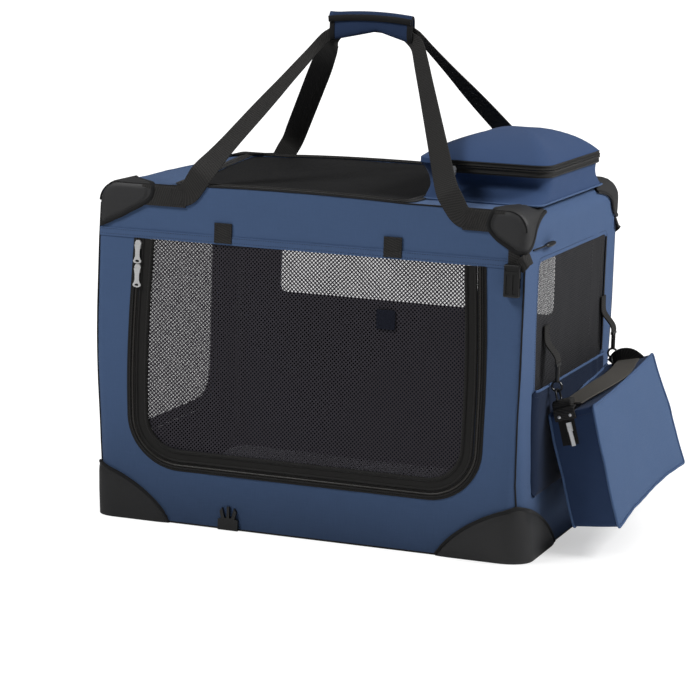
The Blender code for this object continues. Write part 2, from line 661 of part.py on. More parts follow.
def build_protectors(mats):
    radius = EDGE_RADIUS + GAP
    cx, cz = RIGHT - EDGE_RADIUS, HEIGHT - EDGE_RADIUS
    for sy, face in ((-1, "front"), (1, "back")):
        for sx, side in ((-1, "left"), (1, "right")):
            y_near = sy * (DEPTH / 2 + GAP)
            y_far = y_near + sy * PATCH
            edge = [(RIGHT + GAP + PATCH - u, HEIGHT + GAP + PATCH - v)
                    for u, v in top_patch_edge(side)]
            corner = [(cx + (radius + PATCH) * math.cos(a), cz + (radius + PATCH) * math.sin(a))
                      for a in (math.radians(15 * k) for k in range(7))]
            flange = [(sx * x, z) for x, z in edge + corner]
            lo, hi = sorted((y_near, y_far))
            patch = add_object(f"top_protector_{face}_{side}", prism(flange, lo, hi, 'Y'),
                               mats['leather'])
            top_end = RIGHT + GAP + PATCH - TOP_PATCH_WIDTH[side]
            tip = HEIGHT + GAP + PATCH - TOP_PATCH_HEIGHT
            outer = [(RIGHT + GAP + PATCH, tip)] + corner + [(top_end, HEIGHT + GAP + PATCH)]
            inner = [(cx + radius * math.cos(a), cz + radius * math.sin(a))
                     for a in (math.radians(15 * k) for k in range(6, -1, -1))]
            wrap = outer + [(top_end, HEIGHT + GAP)] + inner + [(RIGHT + GAP, tip)]
            lo, hi = sorted((y_far, y_near - sy * TOP_PATCH_DEPTH))
            shapes = [prism([(sx * x, z) for x, z in wrap], lo, hi, 'Y')]
            if side == "right":
                shapes.append(buckle_webbing(sy))
            fuse(patch, shapes, mats['leather'])
            back = y_near - sy * (TOP_PATCH_DEPTH + GAP)
            slant = [(y_near, tip - GAP), (back, cz + radius * 0.85), (back, tip - GAP)]
            lo, hi = sorted((sx * (cx + radius * 0.3), sx * (RIGHT + 2 * PATCH)))
            cut(patch, [prism(slant, lo, hi, 'X')], mats['leather'])

            edge = [(RIGHT + GAP + PATCH - u, GAP + v)
                    for u, v in curved_edge(BASE_PATCH_WIDTH, BASE_PATCH_HEIGHT)]
            flange = [(sx * x, z) for x, z in edge + [(RIGHT + GAP + PATCH, GAP)]]
            lo, hi = sorted((y_near, y_far))
            patch = add_object(f"base_protector_{face}_{side}", prism(flange, lo, hi, 'Y'),
                               mats['leather'])
            edge = [(sy * (DEPTH / 2 + GAP + PATCH - u), GAP + v)
                    for u, v in curved_edge(BASE_PATCH_DEPTH, BASE_PATCH_HEIGHT)]
            flange = edge + [(y_far, GAP)]
            lo, hi = sorted((sx * (RIGHT + GAP), sx * (RIGHT + GAP + PATCH)))
            fuse(patch, [prism(flange, lo, hi, 'X')], mats['leather'])


# Fastenings

def buckle_top():
    return HEIGHT + PATCH - TOP_PATCH_HEIGHT - 0.010


def buckle_webbing(sy):
    """The web under a top protector that a buckle socket hangs against."""
    lo, hi = sorted((sy * (DEPTH / 2 + GAP), sy * (BUCKLE_AXIS_Y - GAP / 3)))
    return block(BUCKLE_X - BUCKLE_WIDTH * 0.4, BUCKLE_X + BUCKLE_WIDTH * 0.4, lo, hi,
                 buckle_top() - BUCKLE_HEIGHT * 0.6, HEIGHT - TOP_PATCH_HEIGHT * 0.6)


def build_buckles(mats):
    for sy, face in ((-1, "front"), (1, "back")):
        pivot = add_empty(f"{face}_buckle_axis",
                          (BUCKLE_X, sy * BUCKLE_AXIS_Y, buckle_top()))
        lo, hi = sorted((sy * 0.0004, sy * (0.0004 + BUCKLE_THICKNESS)))
        body = block(-BUCKLE_WIDTH / 2, BUCKLE_WIDTH / 2, lo, hi, -BUCKLE_HEIGHT, 0, 0.0022, 2)
        socket = add_object(f"{face}_buckle_socket", body, mats['plastic'], parent=pivot)
        middle = sy * (0.0004 + BUCKLE_THICKNESS / 2)
        slot = block(-BUCKLE_WIDTH * 0.36, BUCKLE_WIDTH * 0.36, middle - BUCKLE_THICKNESS * 0.26,
                     middle + BUCKLE_THICKNESS * 0.26, -BUCKLE_HEIGHT - 0.01,
                     -BUCKLE_HEIGHT * 0.35)
        sides = [block(sx * BUCKLE_WIDTH / 2 - 0.0035, sx * BUCKLE_WIDTH / 2 + 0.0035,
                       middle - BUCKLE_THICKNESS * 0.26, middle + BUCKLE_THICKNESS * 0.26,
                       -BUCKLE_HEIGHT * 0.72, -BUCKLE_HEIGHT * 0.42) for sx in (-1, 1)]
        outer = sy * (0.0004 + BUCKLE_THICKNESS)
        lo, hi = sorted((outer - sy * BUCKLE_GROOVE, outer + sy * BUCKLE_GROOVE))
        grooves = [block(sx * BUCKLE_WIDTH * 0.21 - BUCKLE_WIDTH * 0.12,
                         sx * BUCKLE_WIDTH * 0.21 + BUCKLE_WIDTH * 0.12, lo, hi,
                         -BUCKLE_HEIGHT * 0.90, -BUCKLE_HEIGHT * 0.30) for sx in (-1, 1)]
        grooves.append(block(-BUCKLE_WIDTH * 0.42, BUCKLE_WIDTH * 0.42, lo, hi,
                             -BUCKLE_HEIGHT * 0.21, -BUCKLE_HEIGHT * 0.12))
        cut(socket, [slot] + sides + grooves, mats['plastic'])

        y = sy * (DEPTH / 2 + GAP)
        lo, hi = sorted((0, sy * BUCKLE_THICKNESS * 0.5))
        neck = PLUG_HEIGHT * 0.45
        outline = [(-PLUG_WIDTH / 2, 0), (PLUG_WIDTH / 2, 0), (PLUG_WIDTH / 2, neck),
                   (PLUG_WIDTH * 0.34, neck * 1.1), (PLUG_WIDTH * 0.42, PLUG_HEIGHT * 0.8),
                   (PLUG_WIDTH * 0.30, PLUG_HEIGHT * 0.95), (PLUG_WIDTH * 0.17, neck * 1.15),
                   (PLUG_WIDTH * 0.07, neck * 1.15), (PLUG_WIDTH * 0.06, PLUG_HEIGHT),
                   (-PLUG_WIDTH * 0.06, PLUG_HEIGHT), (-PLUG_WIDTH * 0.07, neck * 1.15),
                   (-PLUG_WIDTH * 0.17, neck * 1.15), (-PLUG_WIDTH * 0.30, PLUG_HEIGHT * 0.95),
                   (-PLUG_WIDTH * 0.42, PLUG_HEIGHT * 0.8), (-PLUG_WIDTH * 0.34, neck * 1.1),
                   (-PLUG_WIDTH / 2, neck)]
        add_object(f"{face}_buckle_plug", prism(outline, lo, hi, 'Y'), mats['plastic'],
                   (PLUG_X, y, 2 * GAP))


def pull_shape(sy_dir):
    """A zip pull hanging from its lug at the origin, facing -Y or along sy_dir."""
    half = SLIDER_WIDTH * 0.36
    tip = PULL_LENGTH
    radius = SLIDER_WIDTH * 0.48
    points = [(half, -0.0001), (-half, -0.0001), (-half * 0.7, -tip * 0.3), (-half * 0.7, -tip * 0.62)]
    for step in range(9):
        angle = math.radians(140 + 260 * step / 8)
        points.append((radius * math.cos(angle), -tip + radius + radius * math.sin(angle)))
    points += [(half * 0.7, -tip * 0.62), (half * 0.7, -tip * 0.3)]
    hole = [(radius * 0.5 * math.cos(a), -tip + radius + radius * 0.5 * math.sin(a))
            for a in (2 * math.pi * k / 10 for k in range(10))]
    lo, hi = sorted((0, sy_dir * PULL_THICKNESS))
    return points, hole, lo, hi


def make_slider(name, location, mats, axis='Y', out=-1, fuse_pull=False, parent=None):
    """A slider body on a zip, its pull hung on the outside face."""
    half = SLIDER_WIDTH / 2
    lo, hi = sorted((out * GAP, out * (GAP + SLIDER_HEIGHT)))
    outline = [(-half * 0.7, -SLIDER_LENGTH / 2), (half * 0.7, -SLIDER_LENGTH / 2),
               (half, SLIDER_LENGTH * 0.2), (half * 0.55, SLIDER_LENGTH / 2),
               (-half * 0.55, SLIDER_LENGTH / 2), (-half, SLIDER_LENGTH * 0.2)]
    body = add_object(name, prism(outline, lo, hi, axis), mats['silver'], location, parent)
    points, hole, p_lo, p_hi = pull_shape(out)
    face = out * (GAP + SLIDER_HEIGHT + (0 if fuse_pull else GAP))
    pull = prism(points, p_lo + face, p_hi + face, axis, [hole])
    if fuse_pull:
        bmesh.ops.translate(pull, verts=pull.verts,
                            vec=(0, -out * 0.0004, 0) if axis == 'Y' else (-out * 0.0004, 0, 0))
        fuse(body, [pull], mats['silver'])
        return
    bmesh.ops.translate(pull, verts=pull.verts,
                        vec=(0, -face, 0) if axis == 'Y' else (-face, 0, 0))
    offset = Vector((0, face, 0)) if axis == 'Y' else Vector((face, 0, 0))
    add_object(name.replace("slider", "pull"), pull, mats['silver'],
               Vector(location) + offset, parent)


def build_sliders(mats):
    x = -FRONT_DOOR_WIDTH / 2 - SLIDER_WIDTH / 2 - GAP
    top = SEAM_HEIGHT - SLIDER_DROP
    make_slider("front_slider_upper", (x, FRONT, top), mats)
    make_slider("front_slider_lower", (x, FRONT, top - SLIDER_SPACING - PULL_LENGTH * 0.6), mats)
    y = -LEFT_DOOR_WIDTH / 2 - SLIDER_WIDTH / 2 - GAP
    make_slider("left_slider", (LEFT, y, top), mats, 'X', -1)
    make_slider("pocket_slider", (POCKET_SLIDER_X, POCKET_MOUTH[2], POCKET_RIM
                                  - SLIDER_LENGTH / 2 - 2 * GAP), mats)


# Roof pocket

def pocket_ring(outline, inset, z):
    """One level of the pocket, drawn in by inset."""
    x0, x1, y0, y1 = outline
    return [(x, y, z) for x, y in rounded_rectangle(x0 + inset, x1 - inset, y0 + inset, y1 - inset,
                                                    POCKET_CORNER - inset * 0.8, 4)]


def build_pocket(mats):
    """A gusseted tray and a hollow domed lid that lifts along its left edge."""
    waist = ROOF_TOP + POCKET_WAIST_RISE
    outer = [pocket_ring(POCKET_BASE, 0, ROOF_TOP), pocket_ring(POCKET_WAIST, 0, waist),
             pocket_ring(POCKET_MOUTH, 0, POCKET_RIM)]
    inner = [pocket_ring(POCKET_MOUTH, POCKET_WALL, POCKET_RIM),
             pocket_ring(POCKET_WAIST, POCKET_WALL, waist),
             pocket_ring(POCKET_BASE, 2 * POCKET_WALL, ROOF_TOP + POCKET_WALL)]
    add_object("pocket_body", sweep(outer + inner), mats['fabric'])

    x0, x1, y0, y1 = POCKET_MOUTH
    axis = add_empty("pocket_lid_axis", (x0, 0, POCKET_RIM + GAP))
    cx, cy = (x0 + x1) / 2, (y0 + y1) / 2

    def lid_ring(share, lift):
        return [(cx - x0 + (x - cx) * share, cy + (y - cy) * share, GAP + lift)
                for x, y, _ in pocket_ring(POCKET_MOUTH, 0, 0)]

    levels = ((1.0, 0.0), (1.0, 0.008), (0.92, 0.42), (0.77, 0.72), (0.55, 0.91), (0.28, 1.0))
    dome = [lid_ring(share, lift if index < 2 else POCKET_DOME * lift)
            for index, (share, lift) in enumerate(levels)]
    shell = 1 - POCKET_WALL / (cx - x0)
    hollow = [lid_ring(share * shell, max((lift if index < 2 else POCKET_DOME * lift)
                                          - (POCKET_WALL if index else 0), 0))
              for index, (share, lift) in enumerate(levels)]
    add_object("pocket_lid", lid_shell(dome, hollow), mats['fabric'], parent=axis)


def lid_shell(dome, hollow):
    """Join an outer and an inner dome along their rims and cap both crowns."""
    bm = bmesh.new()
    loops = [[bm.verts.new(p) for p in ring] for ring in list(reversed(dome)) + hollow]
    count = len(loops[0])
    for near, far in zip(loops, loops[1:]):
        for k in range(count):
            bm.faces.new((near[k], near[(k + 1) % count], far[(k + 1) % count], far[k]))
    bm.faces.new(list(reversed(loops[0])))
    bm.faces.new(loops[-1])
    return bm


# Handle

def strap_path(sy):
    """Centre line and across directions of one webbing, from its left end to its right.

    It lies flat on the long wall under the roof's edge, turns up with a twist and runs
    straight to the grip, where it stands on edge beside the other webbing.
    """
    face = sy * (DEPTH / 2 + GAP + WEBBING / 2)
    lay_z = HEIGHT - STRAP_LAY
    end = RIGHT + PATCH - GAP
    top_y = sy * (WEBBING / 2 + 2 * GAP)
    half = GRIP_LENGTH / 2
    foot = Vector((HANDLE_ROOT - 0.012, face, HEIGHT + 0.026))
    head = Vector((half + 0.012, top_y, HANDLE_Z))
    leg_across = Vector((0.92, -sy * 0.28, 0.27))
    upright = Vector((0, 0, 1))

    def side(sx):
        stop = end - TOP_PATCH_WIDTH["right" if sx > 0 else "left"]
        places = [(Vector((half + 0.002, top_y, HANDLE_Z)), upright),
                  (Vector((half + 0.008, top_y, HANDLE_Z)), upright),
                  (Vector((half + 0.015, top_y + sy * 0.004, HANDLE_Z - 0.002)),
                   Vector((0.20, 0, 0.98))),
                  (Vector((half + 0.024, top_y + sy * 0.012, HANDLE_Z - 0.012)),
                   Vector((0.60, 0, 0.80))),
                  (head.lerp(foot, 0.10), Vector((0.80, 0, 0.60))),
                  (head.lerp(foot, 0.25), leg_across), (head.lerp(foot, 0.50), leg_across),
                  (head.lerp(foot, 0.84), leg_across),
                  (foot, Vector((0.85, 0, 0.50))),
                  (foot.lerp(Vector((HANDLE_ROOT + 0.010, face, lay_z + 0.004)), 0.4),
                   Vector((0.75, 0, 0.65))),
                  (Vector((HANDLE_ROOT + 0.010, face, lay_z + 0.004)), Vector((0.35, 0, 0.94))),
                  (Vector((HANDLE_ROOT + 0.022, face, lay_z)), upright),
                  (Vector((stop, face, lay_z)), upright)]
        return [(Vector((sx * p.x, p.y, p.z)), Vector((sx * w.x, w.y, w.z))) for p, w in places]

    left, right = side(-1), side(1)
    return list(reversed(left)), [(Vector((0, top_y, HANDLE_Z)), upright)] + right


def build_handle(mats):
    for sy, face in ((-1, "front"), (1, "back")):
        left, right = strap_path(sy)
        points = smooth_path([p for p, _ in left] + [p for p, _ in right], STRAP_STEPS)
        widths = smooth_path([w.normalized() for _, w in left]
                             + [w.normalized() for _, w in right], STRAP_STEPS)
        add_object(f"{face}_strap", ribbon(points, widths, WEBBING_WIDTH, WEBBING),
                   mats['webbing'], smooth=60)
    channel_y = WEBBING + 4 * GAP
    channel_z = WEBBING_WIDTH / 2 + 2 * GAP
    outer = rounded_rectangle(-channel_y - GRIP_WALL, channel_y + GRIP_WALL,
                              -channel_z - GRIP_WALL, channel_z + GRIP_WALL, 0.005, 3)
    inner = box_outline(-channel_y, channel_y, -channel_z, channel_z)
    add_object("grip", prism(outer, -GRIP_LENGTH / 2, GRIP_LENGTH / 2, 'X', [inner]),
               mats['fabric'], (0, 0, HANDLE_Z))


# Pouch

def build_pouch(mats):
    """A zipped pouch on two snap hooks; its rings turn in the hooks' loops."""
    axis = add_empty("pouch_axis", (POUCH_AXIS_X, 0, POUCH_AXIS_Z), (0, -POUCH_TILT, 0))
    y0, y1 = POUCH_SHIFT - POUCH_WIDTH / 2, POUCH_SHIFT + POUCH_WIDTH / 2
    top = -POUCH_TOP_DROP
    x0, x1 = -POUCH_INNER, POUCH_THICKNESS - POUCH_INNER
    body = block(x0, x1, y0, y1, top - POUCH_HEIGHT, top, POUCH_ROUND, 3)
    add_object("pouch_body", body, mats['fabric'], parent=axis)

    ring_y = (POUCH_SHIFT - HOOK_SPAN / 2, POUCH_SHIFT + HOOK_SPAN / 2)
    loop_top = -2 * RING_RADIUS + 0.004
    near, far = ring_y
    out, rise = POUCH_STRAP_OUT, POUCH_STRAP_RISE
    path = [Vector((out * 0.45, near, top + rise * 0.5)),
            Vector((out * 0.65, near + 0.03, top + rise * 0.75)),
            Vector((out, POUCH_SHIFT - 0.05, top + rise)),
            Vector((out, POUCH_SHIFT + 0.05, top + rise)),
            Vector((out * 0.65, far - 0.03, top + rise * 0.75)),
            Vector((out * 0.45, far, top + rise * 0.5))]
    lean = [Vector((1, 0, -0.1)), Vector((1, 0, -0.2)), Vector((1, 0, -0.35)),
            Vector((1, 0, -0.35)), Vector((1, 0, -0.2)), Vector((1, 0, -0.1))]
    points = smooth_path(path, 2)
    across = smooth_path([v.normalized() for v in lean], 2)
    strap = add_object("pouch_strap", ribbon(points, across,
                                             WEBBING_WIDTH * 0.9, WEBBING),
                       mats['webbing'], parent=axis)
    shapes = []
    for y in ring_y:
        shapes.append(block(-0.010, 0.020, y - 0.011, y + 0.011, top + GAP, loop_top, 0.001, 1))
        shapes.append(torus(RING_RADIUS, RING_WIRE, 'X', (0, y, -RING_RADIUS)))
    fuse(strap, shapes, mats['webbing'])

    slider_y = y0 - GAP
    outline = box_outline(-0.004, 0.004, -0.007, 0.007)
    slider = prism(outline, -SLIDER_HEIGHT, 0, 'Y')
    pull = prism(box_outline(-0.003, 0.003, -0.030, 0.0), -SLIDER_HEIGHT - 0.0012,
                 -SLIDER_HEIGHT + 0.0004, 'Y')
    obj = add_object("pouch_slider", slider, mats['silver'],
                     (POUCH_THICKNESS * 0.35 - POUCH_INNER, slider_y, top - 0.025), axis)
    fuse(obj, [pull], mats['silver'])

    loop_z = POUCH_AXIS_Z + HOOK_LOOP - HOOK_WIRE - RING_WIRE - GAP
    for y, end in zip(ring_y, ("front", "rear")):
        centre = (POUCH_AXIS_X, y, loop_z)
        hook = add_object(f"{end}_snap_hook", torus(HOOK_LOOP, HOOK_WIRE, 'Y'), mats['plastic'],
                          centre)
        shank = cylinder(0.0036, HOOK_LOOP - 0.001, HOOK_LOOP + HOOK_SHANK, 'Z', (0, 0), 10)
        eye_z = HOOK_LOOP + HOOK_SHANK
        eye = block(-0.0022, 0.0022, -TAB_WIDTH * 0.42, TAB_WIDTH * 0.42, eye_z - 0.0015,
                    eye_z + 0.0025)
        fuse(hook, [shank, eye], mats['plastic'])
        foot = loop_z + eye_z + 0.0025 + GAP
        head = foot + TAB_HEIGHT
        wall_x = RIGHT + GAP + WEBBING / 2 + GAP
        points = smooth_path([Vector((POUCH_AXIS_X, y, foot)),
                              Vector((POUCH_AXIS_X, y, foot + 0.006)),
                              Vector((POUCH_AXIS_X - 0.004, y, foot + 0.014)),
                              Vector((wall_x + 0.002, y, foot + TAB_HEIGHT * 0.5)),
                              Vector((wall_x, y, foot + TAB_HEIGHT * 0.7)),
                              Vector((wall_x, y, head))], 2)
        add_object(f"{end}_hook_tab", ribbon(points, [Vector((0, 1, 0))] * len(points),
                                             TAB_WIDTH, WEBBING), mats['webbing'])


def build_toggle(mats):
    """A short drawcord with a small toggle at the right window's upper front corner."""
    y = TOGGLE_Y
    x = RIGHT + GAP
    path = smooth_path([Vector((x + 0.0012, y, 0.0)), Vector((x + 0.006, y + 0.010, -0.001)),
                        Vector((x + 0.007, y + 0.024, -0.001))], 2)
    rings = []
    for p in path:
        rings.append([p + 0.0011 * (math.cos(a) * Vector((0.8, -0.6, 0))
                                    + math.sin(a) * Vector((0, 0, 1)))
                      for a in (2 * math.pi * k / 6 for k in range(6))])
    z = SEAM_HEIGHT + TOGGLE_RISE
    cord = add_object("window_toggle", sweep(rings), mats['plastic'], (0, 0, z))
    toggle = cylinder(0.0038, y + 0.022, y + 0.042, 'Y', (x + 0.007, -0.001), 8)
    fuse(cord, [toggle], mats['plastic'])


def main():
    clear_scene()
    mats = {
        'fabric': material("blue_fabric", (0.055, 0.095, 0.195), 0.75),
        'fabric_dark': material("base_fabric", (0.02, 0.03, 0.06), 0.85),
        'mesh': material("black_mesh", (0.015, 0.015, 0.018), 0.8),
        'zip': material("zip_tape", (0.018, 0.017, 0.016), 0.6),
        'leather': material("charcoal_protector", (0.032, 0.032, 0.034), 0.55),
        'webbing': material("black_webbing", (0.02, 0.02, 0.02), 0.7),
        'plastic': material("black_plastic", (0.012, 0.012, 0.013), 0.35),
        'silver': material("silver_metal", (0.75, 0.75, 0.76), 0.25, 1.0),
        'frame': material("dark_steel", (0.05, 0.05, 0.055), 0.4, 0.6),
        'board': material("board", (0.05, 0.05, 0.05), 0.8),
        'mat': material("grey_mat", (0.12, 0.13, 0.15), 0.95),
    }
    build_frame(mats)
    build_base(mats)
    build_walls(mats)
    build_doors(mats)
    build_side_pocket(mats)
    build_roof(mats)
    build_protectors(mats)
    build_buckles(mats)
    build_sliders(mats)
    build_pocket(mats)
    build_handle(mats)
    build_pouch(mats)
    build_toggle(mats)


main()
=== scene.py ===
# %% [markdown]
# # A folding soft pet carrier
# The real object is a blue cloth box stretched over a light tube frame. Its long front
# is a mesh door with a zip round it, more mesh lets air in at the ends, back and roof,
# charcoal patches guard the corners, and a padded dome, a carry handle and a small
# pouch hang on the outside. The frame and all the hard fittings come ready made from the
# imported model. Everything soft is sewn here, on top of it and in the same place.

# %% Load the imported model
import math

import bmesh
import bpy
import numpy as np
from mathutils import Matrix, Vector, noise
from mathutils.geometry import delaunay_2d_cdt


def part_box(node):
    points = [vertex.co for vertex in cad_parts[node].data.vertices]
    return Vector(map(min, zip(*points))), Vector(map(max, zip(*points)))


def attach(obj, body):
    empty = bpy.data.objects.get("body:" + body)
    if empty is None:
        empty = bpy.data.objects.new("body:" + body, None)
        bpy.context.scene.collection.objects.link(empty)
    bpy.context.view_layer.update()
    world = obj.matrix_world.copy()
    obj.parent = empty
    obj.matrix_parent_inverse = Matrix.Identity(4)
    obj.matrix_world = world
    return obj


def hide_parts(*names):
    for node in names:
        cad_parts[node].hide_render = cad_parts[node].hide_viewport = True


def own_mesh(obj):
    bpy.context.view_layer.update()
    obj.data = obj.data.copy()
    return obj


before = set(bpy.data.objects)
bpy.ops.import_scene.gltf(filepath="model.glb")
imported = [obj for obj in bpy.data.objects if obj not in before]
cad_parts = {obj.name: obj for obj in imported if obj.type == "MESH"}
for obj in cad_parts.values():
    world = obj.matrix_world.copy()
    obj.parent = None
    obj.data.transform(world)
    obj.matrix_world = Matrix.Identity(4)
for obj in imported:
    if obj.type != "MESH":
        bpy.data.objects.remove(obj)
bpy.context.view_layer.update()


def placed(name, data):
    """An object made from data and put into the scene."""
    obj = bpy.data.objects.new(name, data)
    bpy.context.scene.collection.objects.link(obj)
    return obj


def settled(obj):
    """The object as its modifiers leave it."""
    bpy.context.view_layer.update()
    return obj.evaluated_get(bpy.context.evaluated_depsgraph_get())


def set_points(mesh, points):
    mesh.vertices.foreach_set("co", np.asarray(points, np.float32).ravel())
    mesh.update()


def points_of(mesh):
    return np.array([v.co[:] for v in mesh.vertices])


# %% [markdown]
# ## Sizes that the cloth is cut to
# A tailor cuts cloth to the frame, never the other way round. So the cloth's sizes are
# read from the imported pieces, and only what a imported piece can't tell is written here.

# %% Sizes of the box
(_, wall_y, FLOOR), (HALF_LENGTH, wall_inside, _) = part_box("front_wall")
HALF_DEPTH, WALL_THICK = -wall_y, wall_inside - wall_y
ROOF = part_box("roof_panel")[1][2]
SHOULDER = 0.030
SHOULDER_X, SHOULDER_Z = HALF_LENGTH - SHOULDER, ROOF - SHOULDER
(_, _, DOOR_LOW), (DOOR_HALF, _, SEAM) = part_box("front_door")
LEFT_DOOR_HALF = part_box("left_door")[1][1]
DOOR_CORNER = 0.070
FACES = (("front", -1), ("back", 1))
ENDS = (("left", -1), ("right", 1))
print("box", HALF_LENGTH, HALF_DEPTH, ROOF, "door half width", DOOR_HALF, "seam", SEAM)

# %% [markdown]
# ## Camera and light
# The photograph was taken from a little above and to the right with a long lens, which
# keeps upright edges nearly parallel. The numbers come from fitting the box's corners to
# the picture. A roll of under two degrees finishes the match. The light is a studio's:
# one broad lamp high on the right, a nearly equal one in front on the left, a faint one
# overhead and a dim room round them all, which looks white to the camera alone.

# %% Camera
FOCAL_LENGTH, CAMERA_AT = 138.2, (1.4842, -4.0769, 1.0374)
azimuth, elevation, roll = math.radians(20.26), math.radians(10.17), math.radians(1.77)
ahead = Vector((-math.sin(azimuth) * math.cos(elevation),
                math.cos(azimuth) * math.cos(elevation), -math.sin(elevation)))
level = Vector((math.cos(azimuth), math.sin(azimuth), 0))
upward = level.cross(ahead)
across = level * math.cos(roll) + upward * math.sin(roll)
upright = upward * math.cos(roll) - level * math.sin(roll)
lens = bpy.data.cameras.new("photograph")
lens.lens = FOCAL_LENGTH
lens.sensor_width = 36
lens.clip_end = 60
camera = placed("photograph", lens)
camera.matrix_world = Matrix.Translation(CAMERA_AT) @ Matrix(
    (across, upright, -ahead)).transposed().to_4x4()
bpy.context.scene.camera = camera


# %% Lamps
def soft_box(name, spot, aim, width, height, power):
    """A broad lamp at spot that faces aim."""
    light = bpy.data.lights.new(name, "AREA")
    light.shape = "RECTANGLE"
    light.size, light.size_y, light.energy = width, height, power
    facing = (Vector(aim) - Vector(spot)).to_track_quat("-Z", "Y")
    placed(name, light).matrix_world = Matrix.Translation(spot) @ facing.to_matrix().to_4x4()


soft_box("key_lamp", (2.2, 0.25, 1.95), (0, 0, 0.40), 0.9, 0.8, 46)
soft_box("front_lamp", (-1.2, -1.6, 2.3), (0, 0, 0.50), 0.9, 0.8, 36)
soft_box("top_lamp", (0.6, 0.8, 3.6), (0, 0, 0.3), 2.2, 2.2, 4)


# %% [markdown]
# ## Writing a material as sums
# A pattern is arithmetic on coordinates. `Wire` wraps a socket so that `a * b + 1` adds
# the Math nodes by itself, and `Bench.add` makes any other node: its kind, its settings,
# then what goes into its sockets. Each finish below is then a few readable lines.

# %% Wires and benches
class Wire:
    """One output socket that can be used in sums."""

    def __init__(self, bench, socket):
        self.bench, self.socket = bench, socket

    def sum(self, operation, other=0.0, swapped=False):
        pair = [other, self] if swapped else [self, other]
        return self.bench.add("ShaderNodeMath", {"operation": operation}, pair)

    def __add__(self, other):
        return self.sum("ADD", other)

    __radd__ = __add__

    def __sub__(self, other):
        return self.sum("SUBTRACT", other)

    def __rsub__(self, other):
        return self.sum("SUBTRACT", other, True)

    def __mul__(self, other):
        return self.sum("MULTIPLY", other)

    __rmul__ = __mul__

    def __truediv__(self, other):
        return self.sum("DIVIDE", other)

    def __gt__(self, other):
        return self.sum("GREATER_THAN", other)

    def __lt__(self, other):
        return self.sum("LESS_THAN", other)

    def wave(self, period):
        """A sine from 0 to 1 that repeats every period metres."""
        return (self * (2 * math.pi / period)).sum("SINE") * 0.5 + 0.5


class Bench:
    """A material that is being put together."""

    def __init__(self, name):
        self.material = bpy.data.materials.new(name)
        self.material.use_nodes = True
        self.tree = self.material.node_tree
        self.shader = self.tree.nodes["Principled BSDF"]

    def add(self, kind, settings=(), sockets=(), output=0):
        node = self.tree.nodes.new(kind)
        for setting, value in dict(settings).items():
            setattr(node, setting, value)
        pairs = sockets.items() if isinstance(sockets, dict) else enumerate(sockets)
        for socket, value in pairs:
            self.plug(node.inputs[socket], value)
        return Wire(self, node.outputs[output])

    def plug(self, socket, value):
        if isinstance(value, Wire):
            self.tree.links.new(value.socket, socket)
        elif value is not None:
            socket.default_value = value

    def place(self, layout):
        """Coordinates in metres: along the cloth for 'cloth', in the room for 'room'."""
        kind = "UV" if layout == "cloth" else "Object"
        node = self.tree.nodes.new("ShaderNodeTexCoord")
        whole = Wire(self, node.outputs[kind])
        split = self.tree.nodes.new("ShaderNodeSeparateXYZ")
        self.tree.links.new(whole.socket, split.inputs[0])
        return whole, [Wire(self, split.outputs[axis]) for axis in range(3)]

    def stretched(self, parts, sizes):
        return self.add("ShaderNodeCombineXYZ", {}, [p * s for p, s in zip(parts, sizes)])

    def cloud(self, where, size, detail=2.0):
        """Noise from 0 to 1; size is in features per metre."""
        return self.add("ShaderNodeTexNoise", {}, {"Vector": where, "Scale": size,
                                                   "Detail": detail})

    def tint(self, mask, low, high):
        """Go from one colour to another by a mask."""
        return self.add("ShaderNodeMix", {"data_type": "RGBA"}, {0: mask, 6: low, 7: high}, 2)

    def worn(self, colour, mask, low, high):
        """A colour that goes from low to high times itself by a mask."""
        return self.tint(mask, dimmed(colour, low), dimmed(colour, high))

    def bump(self, height, depth, strength):
        return self.add("ShaderNodeBump", {}, {"Height": height, "Distance": depth,
                                               "Strength": strength})

    def done(self, **sockets):
        for socket, value in sockets.items():
            self.plug(self.shader.inputs[socket.replace("_", " ")], value)
        return self.material


def shade(*screen):
    """A colour given as it looks on a screen, 0 to 255."""
    shares = [value / 255 for value in screen]
    return (*(s / 12.92 if s <= 0.04045 else ((s + 0.055) / 1.055) ** 2.4 for s in shares), 1.0)


def dimmed(colour, gain):
    return (*(min(c * gain, 1) for c in colour[:3]), 1)


# %% [markdown]
# ## The floor
# A plain pale floor catches the soft shadow round the carrier. For the camera it glows,
# fading into pure white away from the base; nearer the base and under the pouch the glow
# is weaker, a painted shadow. For the light that it gives back it stays an honest grey,
# so nothing is burnt out.

# %% Floor and room
def studio_floor():
    bench = Bench("studio_floor")
    path = bench.tree.nodes.new("ShaderNodeLightPath")
    grain = bench.cloud(bench.place("room")[0], 6.0)
    bench.done(Base_Color=bench.tint(grain, shade(246, 246, 246), shade(250, 250, 250)),
               Roughness=0.9)
    glow = bench.add("ShaderNodeEmission", {}, {"Color": (1, 1, 1, 1), "Strength": 1.25})
    seen = Wire(bench, path.outputs["Is Camera Ray"])
    _, (x, y, _) = bench.place("room")
    # Painted shadow: the glow the camera sees is weaker near the base, a soft shadow painted round
    # the carrier.
    along = (x - 0.06).sum("ABSOLUTE") - 0.38
    deep = y.sum("ABSOLUTE") - 0.24
    away = along.sum("MAXIMUM").sum("POWER", 2.0) + deep.sum("MAXIMUM").sum("POWER", 2.0)
    far = (away.sum("SQRT") * 4.5).sum("MINIMUM", 1.0)
    # Painted shadow: a patch of weaker glow under the pouch.
    blob = ((x - 0.36) / 0.16).sum("POWER", 2.0) + ((y + 0.08) / 0.28).sum("POWER", 2.0)
    under = (1 - blob).sum("MAXIMUM")
    mix = bench.tree.nodes.new("ShaderNodeMixShader")
    bench.plug(mix.inputs[0], seen * (0.70 + far * 0.30 - under * 0.30))
    bench.tree.links.new(bench.shader.outputs[0], mix.inputs[1])
    bench.tree.links.new(glow.socket, mix.inputs[2])
    bench.tree.links.new(mix.outputs[0], bench.tree.nodes["Material Output"].inputs[0])
    return bench.material


